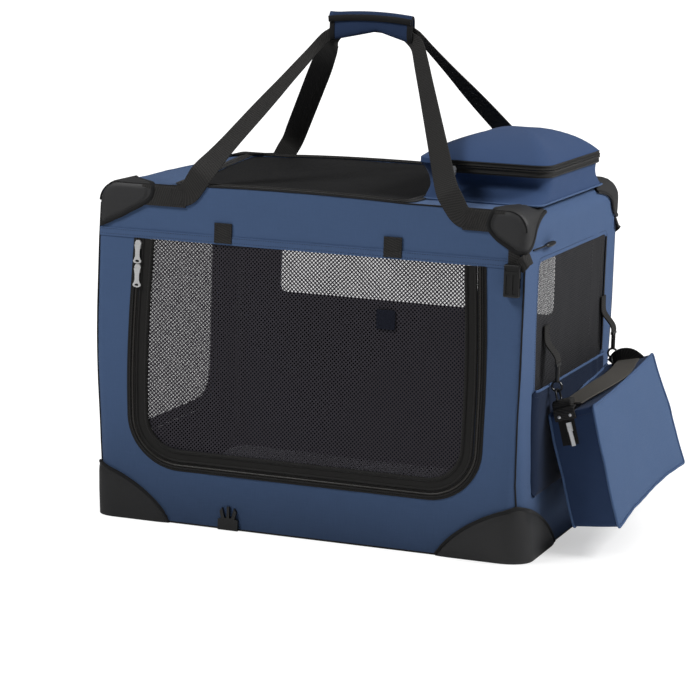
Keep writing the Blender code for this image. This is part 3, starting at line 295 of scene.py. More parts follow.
floor_mesh = bpy.data.meshes.new("studio_floor")
floor_mesh.from_pydata([(-30, -30, 0), (30, -30, 0), (30, 30, 0), (-30, 30, 0)], [],
                       [(0, 1, 2, 3)])
floor_mesh.materials.append(studio_floor())
studio = placed("studio_floor", floor_mesh)
studio.location.z = -0.0005

world = bpy.data.worlds.new("room")
world.use_nodes = True
room = world.node_tree
path = room.nodes.new("ShaderNodeLightPath")
both = room.nodes.new("ShaderNodeMath")
both.operation = "MAXIMUM"
room.links.new(path.outputs["Is Camera Ray"], both.inputs[0])
room.links.new(path.outputs["Is Transmission Ray"], both.inputs[1])
amount = room.nodes.new("ShaderNodeMapRange")
room.links.new(both.outputs[0], amount.inputs["Value"])
amount.inputs["To Min"].default_value = 0.12
amount.inputs["To Max"].default_value = 1.0
room.links.new(amount.outputs[0], room.nodes["Background"].inputs["Strength"])
room.nodes["Background"].inputs["Color"].default_value = (1, 1, 1, 1)
bpy.context.scene.world = world
bpy.context.scene.view_settings.view_transform = "Standard"


# %% [markdown]
# ## Finishes
# Each finish is built from what the real cloth is: threads that cross at right angles,
# thicker threads here and there and a little fading. The walls' cloth also has painted
# shade, darker towards the floor. Threads are half a millimetre wide, so from the camera
# they melt into a soft grain, but they are there up close.

# %% Woven cloth
def woven_cloth(name, colour, thread=0.0009, layout="cloth", roughness=0.82, sheen=0.06,
                depth=0.00025, contrast=0.5, painted_floor_shade=0.0):
    bench = Bench(name)
    whole, parts = bench.place(layout)
    crossing = parts[0].wave(thread) + parts[1].wave(thread)
    if layout == "room":
        crossing = (crossing + parts[2].wave(thread)) / 1.5
    crossing = crossing / 2
    warp = bench.cloud(bench.stretched(parts, (900, 40, 900)), 1.0, 1.0)
    weft = bench.cloud(bench.stretched(parts, (40, 900, 40)), 1.0, 1.0)
    fading = bench.cloud(whole, 9.0, 3.0)
    mask = crossing * 0.35 * contrast + (warp + weft) * 0.5 * contrast + fading * 0.25
    dark = 0.80
    # Painted shade: below 0.30 m the cloth gets darker towards the floor, for the shade low on the
    # walls.
    if painted_floor_shade:
        painted_shade_towards_floor = (1 - bench.place("room")[1][2] / 0.30).sum("MAXIMUM").sum("POWER", 2.0)
        mask = mask * 0.545 + 0.4545 - painted_shade_towards_floor * (0.45 * painted_floor_shade)
        dark = 0.50
    return bench.done(Base_Color=bench.worn(colour, mask, dark, 1.16), Sheen_Weight=sheen,
                      Sheen_Roughness=0.45, Specular_IOR_Level=0.2,
                      Roughness=roughness + (fading - 0.5) * 0.12,
                      Normal=bench.bump(crossing + (warp + weft) * 0.5, depth, 0.7))


BLUE = shade(80, 104, 143)
# The walls' blue cloth has painted shade, darker towards the floor.
blue_cloth = woven_cloth("blue_cloth", BLUE, painted_floor_shade=1.5)
pouch_cloth = woven_cloth("pouch_cloth", shade(84, 108, 146))
blue_moulded = woven_cloth("blue_cloth_moulded", BLUE, layout="room")
navy_lining = woven_cloth("navy_lining", shade(27, 30, 42), roughness=0.9, sheen=0.05)
# Painted shade: a darker copy of the blue for the grip and the pouch's gusset, where they lie in
# shade.
painted_shade_blue = woven_cloth("painted_shade_blue", shade(46, 64, 97), layout="room")
# Painted shade: a deep shaded copy of the blue for the side pocket, which lies in the pouch's
# shadow.
painted_deep_shade_navy = woven_cloth("painted_deep_shade_navy", shade(30, 43, 67), layout="room")
# Painted shade: a darker copy of the blue for the roof pocket's gusset and dome.
painted_shade_dome_blue = woven_cloth("painted_shade_dome_blue", shade(60, 83, 123), layout="room")
base_cloth = woven_cloth("base_cloth", shade(34, 38, 50), 0.0012, roughness=0.9)
fleece = woven_cloth("mat_fleece", shade(92, 95, 103), 0.0025, "room", 0.95, 0.5, 0.0008, 0.9)
tape_black = woven_cloth("zip_tape", shade(35, 34, 33), 0.0011, roughness=0.6, sheen=0.1)
binding_black = woven_cloth("edge_binding", shade(30, 30, 31), 0.0010, "room", 0.7, 0.1)


# %% [markdown]
# ### Open mesh
# The mesh is knitted so that its holes stand in diagonal rows. It is made as a thin sheet
# whose holes are cut by the Alpha socket: a product of two diagonal waves is high in the
# middle of each hole. That costs no geometry and still lets light and sight through.

# %% Open mesh
def open_mesh(name, colour, pitch, openness):
    bench = Bench(name)
    _, (u, v, _) = bench.place("cloth")
    rising, falling = (u + v).wave(pitch), (u - v).wave(pitch)
    hole = rising * falling > 1 - openness
    yarn = bench.cloud(bench.place("room")[0], 260.0)
    return bench.done(Base_Color=bench.worn(colour, yarn, 0.7, 1), Specular_IOR_Level=0.25,
                      Roughness=0.62 + yarn * 0.2, Alpha=1 - hole,
                      Normal=bench.bump(rising * falling + yarn * 0.2, 0.0004, 0.6))


door_mesh_finish = open_mesh("door_mesh", shade(64, 61, 68), 0.0063, 0.72)
fine_mesh_finish = open_mesh("fine_mesh", shade(34, 33, 36), 0.0018, 0.92)
roof_mesh_finish = open_mesh("roof_mesh", shade(36, 36, 37), 0.0034, 0.40)
side_mesh_finish = open_mesh("side_mesh", shade(72, 72, 75), 0.0063, 0.80)


# %% [markdown]
# ### Webbing, patch, plastic and metal
# Webbing has ribs across it and a firm edge. The patches are a coated cloth with a fine
# pebble and a faint shine. Moulded plastic is almost smooth with a fine spark texture,
# and the zip sliders are cast and plated, bright with small scratches.

# %% Webbing
def webbing(name, colour):
    bench = Bench(name)
    whole, (along, over, _) = bench.place("cloth")
    ribs = (along + over * 0.35).wave(0.0038)
    strands = over.wave(0.0024)
    dust = bench.cloud(whole, 30.0, 4.0)
    mask = ribs * 0.45 + strands * 0.2 + dust * 0.35
    return bench.done(Base_Color=bench.worn(colour, mask, 0.35, 1.85), Specular_IOR_Level=0.3,
                      Roughness=0.62 + dust * 0.2,
                      Normal=bench.bump(ribs * 0.7 + strands * 0.4, 0.0007, 0.8))


webbing_black = webbing("black_webbing", shade(43, 42, 41))
webbing_brown = webbing("pouch_webbing", shade(84, 81, 76))


# %% Coated patch, plastic and metal
def coated_patch(name, colour):
    bench = Bench(name)
    whole = bench.place("room")[0]
    pebble = bench.add("ShaderNodeTexVoronoi", {}, {"Vector": whole, "Scale": 950.0})
    rub = bench.cloud(whole, 14.0, 5.0)
    return bench.done(Base_Color=bench.worn(colour, pebble * 0.4 + rub * 0.6, 0.82, 1.15),
                      Roughness=0.50 + rub * 0.18, Normal=bench.bump(pebble, 0.00025, 0.5))


def moulded(name, colour, roughness, metallic=0.0, scratch=0.0):
    bench = Bench(name)
    whole, parts = bench.place("room")
    pits = bench.cloud(whole, 1500.0, 1.0)
    wear = bench.cloud(bench.stretched(parts, (60, 60, 700)), 1.0, 3.0)
    return bench.done(Base_Color=bench.worn(colour, wear, 0.78, 1.12), Metallic=metallic,
                      Roughness=roughness + (wear - 0.5) * 0.15 + pits * scratch,
                      Normal=bench.bump(pits, 0.00006, 0.5))


patch_finish = coated_patch("charcoal_patch", shade(47, 47, 48))
# Painted shade: the patches at the floor are a darker copy of the charcoal, for the shade low down.
patch_painted_shade_finish = coated_patch("charcoal_patch_painted_shade", shade(31, 31, 32))
plastic_finish = moulded("black_plastic", shade(26, 26, 26), 0.34)
silver_finish = moulded("plated_zinc", shade(236, 236, 236), 0.30, 0.45, 0.08)
tube_finish = moulded("painted_tube", shade(50, 51, 54), 0.42, 0.2)
board_finish = moulded("floor_board", shade(58, 58, 60), 0.8)
coil_finish = moulded("zip_coil", shade(46, 43, 40), 0.38)
thread_blue = moulded("blue_thread", shade(44, 58, 88), 0.6)
thread_black = moulded("black_thread", shade(26, 26, 27), 0.6)
toggle_finish = moulded("toggle_plastic", shade(30, 31, 34), 0.4)
for node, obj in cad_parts.items():
    if "hoop" in node or "leg" in node:
        finish = tube_finish
    elif "slider" in node or "pull" in node:
        finish = silver_finish
    elif node == "floor_board":
        finish = board_finish
    else:
        finish = plastic_finish
    obj.data.materials.clear()
    obj.data.materials.append(finish)
print("finishes:", len(bpy.data.materials))


# %% [markdown]
# ## Cutting cloth
# Every flat panel starts as a pattern piece on the table: an outline, perhaps a window,
# and many points between, joined into even triangles. Even triangles matter, because the
# panel then bends softly anywhere. A `side` says where a point of the pattern lies on the
# carrier and how far it stands off, and the panel is closed with a back and an edge.

# %% Outlines
def arc(cu, cv, radius, start, steps):
    """A quarter turn round a corner's middle, from start degrees."""
    angles = [math.radians(start + 90 * step / steps) for step in range(steps + 1)]
    return [(cu + radius * math.cos(a), cv + radius * math.sin(a)) for a in angles]


def four_arcs(u0, u1, v0, v1, radius, steps):
    return [arc(*corner, steps) for corner in (
        (u1 - radius, v0 + radius, radius, -90), (u1 - radius, v1 - radius, radius, 0),
        (u0 + radius, v1 - radius, radius, 90), (u0 + radius, v0 + radius, radius, 180))]


def rounded_box(u0, u1, v0, v1, radius, steps=6):
    return sum(four_arcs(u0, u1, v0, v1, radius, steps), [])


def doorway(half, low, high, radius):
    """An open run down the left side, round the two lower corners and up the right."""
    return [(-half, high), *arc(-half + radius, low + radius, radius, 180, 12),
            *arc(half - radius, low + radius, radius, 270, 12), (half, high)]


def even(points, pitch, closed=True):
    """Points no further apart than pitch along a line, with its corners kept."""
    points = [np.asarray(p, float) for p in points]
    ends = points[1:] + [points[0]] if closed else points[1:]
    result = []
    for a, b in zip(points, ends):
        steps = max(1, math.ceil(np.linalg.norm(b - a) / pitch - 1e-6))
        result += [a + (b - a) * k / steps for k in range(steps)]
    if not closed:
        result.append(points[-1])
    return np.array(result)


def columns(*parts):
    """Points from their coordinates, each a number or a row of numbers."""
    return np.column_stack(np.broadcast_arrays(*parts))


def at_height(flat, z):
    """Points in plan, set at a height."""
    return columns(*np.asarray(flat).T, z)


def cut_corners(points, rounds):
    """Smooth a path by cutting its corners again and again; its ends stay."""
    result = [np.asarray(p, float) for p in points]
    for _ in range(rounds):
        cut = [result[0]]
        for a, b in zip(result, result[1:]):
            cut += [a * 0.75 + b * 0.25, a * 0.25 + b * 0.75]
        result = cut + [result[-1]]
    return np.array(result)


def inside(points, loop):
    """Which points lie inside a closed loop."""
    x, y = points[:, 0][:, None], points[:, 1][:, None]
    ax, ay = loop[:, 0], loop[:, 1]
    bx, by = np.roll(ax, -1), np.roll(ay, -1)
    crosses = (ay > y) != (by > y)
    reach = ax + (y - ay) * (bx - ax) / np.where(by == ay, 1e-12, by - ay)
    return (crosses & (x < reach)).sum(axis=1) % 2 == 1


def within(points, loops):
    """Which points lie inside the first loop and outside all the others."""
    keep = inside(points, loops[0])
    for window in loops[1:]:
        keep &= ~inside(points, window)
    return keep


def pattern(outline, windows, pitch):
    """A pattern piece: its points and its triangles."""
    loops = [even(loop, pitch) for loop in (outline, *windows)]
    low, high = loops[0].min(axis=0), loops[0].max(axis=0)
    rows = np.arange(low[1] + pitch * 0.6, high[1], pitch * 0.87)
    grid = np.array([(x + (pitch / 2 if row % 2 else 0), y) for row, y in enumerate(rows)
                     for x in np.arange(low[0] + pitch * 0.6, high[0], pitch)])
    edge = np.vstack(loops)
    grid = grid[within(grid, loops)]
    near = np.array([np.min(np.hypot(*(edge - p).T)) for p in grid]) > pitch * 0.55
    points = [Vector(p) for p in edge] + [Vector(p) for p in grid[near]]
    edges, start = [], 0
    for loop in loops:
        edges += [(start + k, start + (k + 1) % len(loop)) for k in range(len(loop))]
        start += len(loop)
    flat, _, faces = delaunay_2d_cdt(points, edges, [], 0, 1e-7)[:3]
    flat, faces = np.array([tuple(p) for p in flat]), np.array(faces)
    return flat, faces[within(flat[faces].mean(axis=1), loops)]


# %% Sides of the carrier
def corner_radius(z):
    """The upright corners are crisp at the roof and slack and round at the floor."""
    t = np.clip((z - 0.05) / 0.30, 0, 1)
    return 0.034 - 0.029 * t * t * (3 - 2 * t)


def eased(points):
    """Round the carrier's upright corners in plan."""
    points = np.array(points, float)
    radius = corner_radius(points[:, 2])
    dx = np.abs(points[:, 0]) - (HALF_LENGTH - radius)
    dy = np.abs(points[:, 1]) - (HALF_DEPTH - radius)
    turn = (dx > 0) & (dy > 0)
    dx, dy = np.maximum(dx, 1e-9), np.maximum(dy, 1e-9)
    share = np.where(turn, np.maximum(dx, dy) / np.hypot(dx, dy), 1)
    for axis, half, part in ((0, HALF_LENGTH, dx), (1, HALF_DEPTH, dy)):
        moved = np.sign(points[:, axis]) * (half - radius + part * share)
        points[:, axis] = np.where(turn, moved, points[:, axis])
    return points


BOW_FROM, BOW_LONG, BOW_HIGH = -0.235, 0.385, 0.0045


def edge_rise(x):
    """The roof's long edges bow up a little between the handle's feet."""
    t = np.clip((x - BOW_FROM) / BOW_LONG, 0, 1)
    return BOW_HIGH * (4 * t * (1 - t)) ** 0.8


def pulled_up(x, z):
    """The top of a long wall follows its edge."""
    t = np.clip((z - SEAM - 0.02) / (ROOF - SEAM - 0.02), 0, 1)
    return z + edge_rise(x) * t * t


def long_side(sign):
    def side(u, v, lift):
        x = -sign * u
        return eased(columns(x, sign * (HALF_DEPTH + lift), pulled_up(x, v)))
    return side


def end_side(sign):
    def side(u, v, lift):
        bend = np.clip((v - SHOULDER_Z) / SHOULDER, 0, math.pi / 2)
        over = np.maximum(v - SHOULDER_Z - SHOULDER * math.pi / 2, 0)
        reach = SHOULDER + lift
        x = SHOULDER_X + reach * np.cos(bend) - over
        z = np.minimum(v, SHOULDER_Z) + reach * np.sin(bend)
        return eased(columns(sign * x, sign * u, z))
    return side


front_side, back_side = long_side(-1), long_side(1)
right_side, left_side = end_side(1), end_side(-1)


def roof_crown(u, v):
    """How far the roof is pushed up between the handle's ends."""
    return edge_rise(u) * (1 + 0.3 * np.clip(1 - (v / HALF_DEPTH) ** 2, 0, 1))


def roof_side(u, v, lift):
    return columns(u, v, ROOF + roof_crown(u, v) + lift)


# %% Sewing a panel
def ripples(u, v, size, seed, depth):
    """Soft, slightly upright ripples in a panel, never deeper than depth."""
    values = [noise.noise(Vector((a / size, b / (size * 1.7), seed)))
              + 0.45 * noise.noise(Vector((a / size * 2.3, b / size * 1.6, seed + 7)))
              for a, b in zip(u, v)]
    return np.array(values) * depth


def make_mesh(name, points, faces, finishes, uvs, slots=None):
    mesh = bpy.data.meshes.new(name)
    mesh.from_pydata([tuple(p) for p in points], [], [tuple(f) for f in faces])
    for finish in finishes:
        mesh.materials.append(finish)
    if slots is not None:
        mesh.polygons.foreach_set("material_index", np.asarray(slots, np.int32))
    layer = mesh.uv_layers.new(name="cloth")
    corners = np.zeros(len(mesh.loops), np.int32)
    mesh.loops.foreach_get("vertex_index", corners)
    layer.data.foreach_set("uv", np.asarray(uvs, np.float32)[corners].ravel())
    mesh.shade_smooth()
    mesh.set_sharp_from_angle(angle=math.radians(50))
    return placed(name, mesh)


def panel(name, outline, windows, side, finish, lining=None, thick=0.0022, pitch=0.010,
          lift=0.0, ripple=0.0, size=0.09, seed=0.0, swell=None):
    """A closed sheet of cloth on a side of the carrier."""
    flat, faces = pattern(outline, windows, pitch)
    u, v = flat[:, 0], flat[:, 1]
    rise = np.full(len(flat), lift)
    if ripple:
        rise = rise + ripples(u, v, size, seed, ripple)
    if swell is not None:
        rise = rise + swell(u, v)
    outer, inner = side(u, v, rise), side(u, v, rise - thick)
    count = len(flat)
    edge_use = {}
    for a, b, c in faces:
        for pair in ((a, b), (b, c), (c, a)):
            edge_use[pair] = edge_use.get(pair, 0) + 1
    rim = [pair for pair in edge_use if (pair[1], pair[0]) not in edge_use]
    back = [(c + count, b + count, a + count) for a, b, c in faces]
    walls = [(b, a, a + count, b + count) for a, b in rim]
    all_faces = [tuple(f) for f in faces] + back + walls
    slots = [0] * len(faces) + [1 if lining else 0] * len(back) + [0] * len(walls)
    return make_mesh(name, np.vstack([outer, inner]), all_faces,
                     [finish] + ([lining] if lining else []), np.vstack([flat, flat]), slots)


# The photographed box isn't square: heights, and how far its ends stand out there.
BULGE_AT = (0.0, 0.04, 0.12, 0.22, 0.32, 0.45, 0.54)
BULGE_LEFT = (0.0047, 0.0080, 0.0105, 0.0095, 0.0065, 0.0045, 0.001)
BULGE_RIGHT = (0.0170, 0.0140, 0.0050, 0.0012, 0.0, 0.0, 0.0)


def bulged(obj):
    """Fill out the ends of the cloth box, the left at its corners and the right at its foot."""
    place = points_of(obj.data)
    x, y, z = place[:, 0].copy(), place[:, 1], place[:, 2]
    corner = np.clip(np.abs(y) / HALF_DEPTH, 0, 1) ** 10
    out = np.where(x < 0, -corner * np.interp(z, BULGE_AT, BULGE_LEFT),
                   np.interp(z, BULGE_AT, BULGE_RIGHT))
    place[:, 0] += out * np.clip(np.abs(x) / HALF_LENGTH, 0, 1) ** 3
    set_points(obj.data, place)


LAY_Z = ROOF - 0.016
# How a piece flattens: the joint that does it, the height that stays and the share kept.
FLATTENED = {"fold": ("fold", 0, 0.2311), "tab": ("fold", 0.2946, 0.2),
             "handle": ("handle_drop", LAY_Z, 0.234)}


def sewn(obj, body, slot, *nodes, folds=None):
    """Attach a piece to its body, hide the parts it stands for and copy a folding piece's mesh."""
    if slot == "silver" or body in ("base", "front_door", "left_door") and folds != "tab":
        bulged(obj)
    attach(obj, body)
    if nodes:
        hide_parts(*nodes)
    if folds:
        joint, height, keep = FLATTENED[folds]
        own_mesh(obj)
    return obj


# %% [markdown]
# ## The walls
# The four walls are one skin on the real carrier. Each is a panel here: the front has the
# D-shaped doorway, the left end another, the right end a wide window and the back a long,
# low one. The back swells out by a few millimetres in its middle, where only cloth holds
# it. The insides are coated almost black, which is why the inside looks so dark.

# %% Walls
def swelling(half_u, low, high, depth):
    """A panel's outward swell, nothing along its seams and most in its middle."""
    def swell(u, v):
        across_share = np.clip(1 - (u / half_u) ** 2, 0, 1)
        t = np.clip((v - low) / (high - low), 0, 1)
        return depth * across_share ** 0.5 * (4 * t * (1 - t)) ** 0.7
    return swell


def shoulders(half, low, high, radius):
    return [(-half, low), (half, low), *arc(half - radius, high - radius, radius, 0, 8),
            *arc(-half + radius, high - radius, radius, 90, 8)]


def door_hole(half):
    gap = 0.0006
    return doorway(half + gap, DOOR_LOW - gap, SEAM + gap, DOOR_CORNER)


def window_hole(u0, u1, v0, v1):
    gap = 0.0003
    return rounded_box(u0 - gap, u1 + gap, v0 - gap, v1 + gap, 0.012)


def wall(name, shape, hole, side, **cloth):
    piece = panel(f"{name}_cloth", shape, [hole], side, blue_cloth, navy_lining, **cloth)
    return sewn(piece, "base", "fabric", name, folds="fold")


wall_shape = shoulders(HALF_LENGTH, FLOOR, ROOF, SHOULDER)
end_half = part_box("right_wall")[1][1]
end_top = SHOULDER_Z + SHOULDER * math.pi / 2
end_shape = [(-end_half, FLOOR), (end_half, FLOOR), (end_half, end_top), (-end_half, end_top)]
back_low, back_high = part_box("back_mesh")
back_hole = window_hole(-back_high[0], back_high[0], back_low[2], back_high[2])
right_low, right_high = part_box("right_mesh")
right_hole = window_hole(right_low[1], right_high[1], right_low[2], right_high[2])
walls = [wall("front_wall", wall_shape, door_hole(DOOR_HALF), front_side, pitch=0.009,
              ripple=0.0009, seed=1),
         wall("back_wall", wall_shape, back_hole, back_side, ripple=0.0014, seed=2,
              swell=swelling(0.34, 0.03, 0.50, 0.003)),
         wall("right_wall", end_shape, right_hole, right_side, pitch=0.009, ripple=0.0010,
              seed=3),
         wall("left_wall", end_shape, door_hole(LEFT_DOOR_HALF), left_side, ripple=0.0012,
              seed=4)]
print("wall triangles:", sum(len(piece.data.polygons) for piece in walls))


# %% [markdown]
# ## Tubes, tapes and welts
# Piping, bindings, zip coils and webbing are all a small section carried along a path.
# `sweep` does that for any section. The path's own frame says which way is out, so a tape
# stays flat on its wall, and a length-wise map lets its ribs follow it round corners.

# %% Carrying a section along a path
def directions(points, closed=False):
    """Unit directions along a path."""
    points = np.asarray(points, float)
    if closed:
        along = np.roll(points, -1, axis=0) - np.roll(points, 1, axis=0)
    else:
        along = np.gradient(points, axis=0)
    return along / np.maximum(np.linalg.norm(along, axis=1, keepdims=True), 1e-12)


def sweep(name, points, outward, section, finish, closed=False):
    """Carry a closed section (sideways, outward) along a path; outward is a direction for
    each point."""
    points = np.asarray(points, float)
    along = directions(points, closed)
    outward = np.broadcast_to(np.asarray(outward, float), points.shape)
    sideways = np.cross(outward, along)
    sideways /= np.maximum(np.linalg.norm(sideways, axis=1, keepdims=True), 1e-12)
    outward = np.cross(along, sideways)
    section = np.asarray(section, float)
    if section.ndim == 2:
        section = np.broadcast_to(section, (len(points), *section.shape))
    s, o = section[0].T
    if np.sum(s * np.roll(o, -1) - np.roll(s, -1) * o) < 0:
        section = section[:, ::-1]
    count = section.shape[1]
    rings = (points[:, None, :] + sideways[:, None, :] * section[:, :, 0:1]
             + outward[:, None, :] * section[:, :, 1:2])
    uvs = columns(np.repeat(travelled(points), count),
                  np.tile(travelled(section[0]), len(points)))
    faces = tubes(count, len(points), closed) + ([] if closed else capped(count, len(points)))
    return make_mesh(name, rings.reshape(-1, 3), faces, [finish], uvs)


def profile(*tenths):
    """A section's points from numbers in tenths of a millimetre: sideways, outward."""
    return [(a / 10000, b / 10000) for a, b in zip(tenths[::2], tenths[1::2])]


def circle(radius, sides=8):
    angles = [2 * math.pi * k / sides for k in range(sides)]
    return [(radius * math.cos(a), radius * math.sin(a)) for a in angles]


def joined(name, *objects):
    """Put several meshes that share a body into one piece."""
    bm = bmesh.new()
    finishes = []
    for obj in objects:
        shift = [finishes.index(m) if m in finishes else (finishes.append(m) or len(finishes) - 1)
                 for m in obj.data.materials]
        start = len(bm.faces)
        bm.from_mesh(obj.data)
        bm.faces.ensure_lookup_table()
        for face in bm.faces[start:]:
            face.material_index = shift[face.material_index]
        bpy.data.objects.remove(obj, do_unlink=True)
    mesh = bpy.data.meshes.new(name)
    bm.to_mesh(mesh)
    bm.free()
    for finish in finishes:
        mesh.materials.append(finish)
    return placed(name, mesh)


def faced_out(obj):
    """Turn a closed piece's faces outward, whichever way it was made."""
    bm = bmesh.new()
    bm.from_mesh(obj.data)
    bmesh.ops.recalc_face_normals(bm, faces=bm.faces)
    bm.to_mesh(obj.data)
    bm.free()
    return obj


def tubes(count, rings, closed):
    """The faces of a skin over rings of count points each."""
    faces = []
    for i in range(rings if closed else rings - 1):
        j = (i + 1) % rings
        for k in range(count):
            m = (k + 1) % count
            faces.append((i * count + k, i * count + m, j * count + m, j * count + k))
    return faces


def capped(count, rings):
    return [tuple(reversed(range(count))), tuple(range((rings - 1) * count, rings * count))]


def travelled(points):
    """How far along a line each of its points is."""
    steps = np.linalg.norm(np.diff(points, axis=0), axis=1)
    return np.concatenate([[0], np.cumsum(steps)])


def loft(name, rings, finish, caps=True):
    """Skin rings of points into one body, with a length-wise map in metres."""
    rings = np.array(rings, float)
    count = rings.shape[1]
    faces = tubes(count, len(rings), False) + (capped(count, len(rings)) if caps else [])
    uvs = columns(np.repeat(travelled(rings[:, 0]), count),
                  np.tile(travelled(rings[len(rings) // 2]), len(rings)))
    return faced_out(make_mesh(name, rings.reshape(-1, 3), faces, [finish], uvs))


# %% [markdown]
# ## Stitches and zip teeth
# A seam is one small shape repeated hundreds of times along a line, which is what
# Geometry Nodes are for. One tree serves both: it walks along the lines at a set spacing,
# turns each copy to face out of the cloth, varies it a little by a fixed seed, and ends in
# plain mesh. The outward direction rides along on the line's points as an attribute.

# %% The repeating tree
def repeating_tree():
    tree = bpy.data.node_groups.new("repeat_along_lines", "GeometryNodeTree")
    face = tree.interface
    face.new_socket("Lines", in_out="INPUT", socket_type="NodeSocketGeometry")
    for name in ("Spacing", "Length", "Width", "Height"):
        face.new_socket(name, in_out="INPUT", socket_type="NodeSocketFloat")
    face.new_socket("Seed", in_out="INPUT", socket_type="NodeSocketInt")
    face.new_socket("Finish", in_out="INPUT", socket_type="NodeSocketMaterial")
    face.new_socket("Pieces", in_out="OUTPUT", socket_type="NodeSocketGeometry")

    def node(kind, settings=(), **values):
        made = tree.nodes.new(kind)
        for setting, value in dict(settings).items():
            setattr(made, setting, value)
        for socket, value in values.items():
            if isinstance(value, bpy.types.NodeSocket):
                tree.links.new(value, made.inputs[socket])
            else:
                made.inputs[socket].default_value = value
        return made

    given = node("NodeGroupInput").outputs
    curve = node("GeometryNodeMeshToCurve", Mesh=given["Lines"])
    spaced = node("GeometryNodeResampleCurve", {"mode": "LENGTH"}, Curve=curve.outputs[0],
                  Length=given["Spacing"])
    tangent = node("GeometryNodeInputTangent")
    outward = node("GeometryNodeInputNamedAttribute", {"data_type": "FLOAT_VECTOR"},
                   Name="outward")
    ahead_turn = node("FunctionNodeAlignRotationToVector", {"axis": "X"},
                      Vector=tangent.outputs[0])
    turn = node("FunctionNodeAlignRotationToVector", {"axis": "Z", "pivot_axis": "X"},
                Rotation=ahead_turn.outputs[0], Vector=outward.outputs[0])
    bead = node("GeometryNodeMeshUVSphere", Segments=8, Rings=5, Radius=0.5)
    size = node("ShaderNodeCombineXYZ", X=given["Length"], Y=given["Width"], Z=given["Height"])
    shaped = node("GeometryNodeTransform", Geometry=bead.outputs[0], Scale=size.outputs[0])
    vary = node("FunctionNodeRandomValue", Seed=given["Seed"])
    vary.inputs[2].default_value, vary.inputs[3].default_value = 0.9, 1.08
    copies = node("GeometryNodeInstanceOnPoints", Points=spaced.outputs[0],
                  Instance=shaped.outputs[0], Rotation=turn.outputs[0], Scale=vary.outputs[1])
    real = node("GeometryNodeRealizeInstances", Geometry=copies.outputs[0])
    smooth = node("GeometryNodeSetShadeSmooth", Geometry=real.outputs[0])
    dressed = node("GeometryNodeSetMaterial", Geometry=smooth.outputs[0],
                   Material=given["Finish"])
    result = node("NodeGroupOutput")
    tree.links.new(dressed.outputs[0], result.inputs[0])
    return tree


REPEAT = repeating_tree()


def repeated(name, lines, spacing, size, finish, seed=1):
    """Copies of a bead, size (long, wide, high), along lines of (points, outward)."""
    points, outs, edges = [], [], []
    for path_points, outward in lines:
        start = len(points)
        points += [tuple(p) for p in path_points]
        outs += [tuple(o) for o in np.broadcast_to(outward, np.shape(path_points))]
        edges += [(start + k, start + k + 1) for k in range(len(path_points) - 1)]
    mesh = bpy.data.meshes.new(name + "_lines")
    mesh.from_pydata(points, edges, [])
    layer = mesh.attributes.new("outward", "FLOAT_VECTOR", "POINT")
    layer.data.foreach_set("vector", np.array(outs, np.float32).ravel())
    source = placed(name + "_lines", mesh)
    modifier = source.modifiers.new("repeat", "NODES")
    modifier.node_group = REPEAT
    values = {"Spacing": spacing, "Length": size[0], "Width": size[1], "Height": size[2],
              "Seed": seed, "Finish": finish}
    for item in REPEAT.interface.items_tree:
        if item.in_out == "INPUT" and item.name in values:
            modifier[item.identifier] = values[item.name]
    made = bpy.data.meshes.new_from_object(settled(source))
    made.name = name
    bpy.data.objects.remove(source, do_unlink=True)
    if not made.materials:
        made.materials.append(finish)
    return placed(name, made)


def seam(name, lines, finish, spacing=0.0042, seed=1):
    return repeated(name, lines, spacing, (spacing * 0.72, 0.0007, 0.0006), finish, seed)


def line_on(side, points, lift, pitch=0.006, closed=False):
    """A line drawn on a side, with the direction out of the cloth at each point."""
    flat = even(points, pitch, closed)
    if closed:
        flat = np.vstack([flat, flat[:1]])
    u, v = flat[:, 0], flat[:, 1]
    near, far = side(u, v, np.full(len(u), lift)), side(u, v, np.full(len(u), lift + 0.01))
    return near, (far - near) / 0.01


# %% [markdown]
# ## The mesh doors and their zips
# A door is open mesh inside a black tape, and a coil zip joins the tape to the wall on
# three sides. The fourth side is sewn under a doubled blue hem. On the long door the zip
# is looser than the wall and bows outwards, which the picture shows at its lower left.

# %% Zips round a doorway
def run_of(half, offset, bow):
    """The doorway's outline moved outwards by offset, with the slack zip's bow."""
    points = np.array(even(doorway(half + offset, DOOR_LOW - offset, SEAM - 0.0012,
                                   DOOR_CORNER + offset), 0.008, False))
    t = np.clip((points[:, 1] - 0.10) / (SEAM - 0.10), 0, 1)
    points[:, 0] += np.sign(points[:, 0]) * bow * np.sin(math.pi * t) ** 1.2
    return points


TOOTH, HALF_TOOTH = 0.0021, (0.0012, 0.0022, 0.0026)
WALL_TAPE = profile(8, -2, -136, -2, -136, 10, -118, 13, -98, 11, -90, 26, -80, 31, -70, 25,
                    -64, 10, -10, 10, 2, 14)
DOOR_TAPE = profile(8, 4, 16, 26, 28, 32, 42, 26, 50, 12, 150, 14, 158, 28, 178, 36, 202, 28,
                    212, 6, 190, -6, 40, -6)


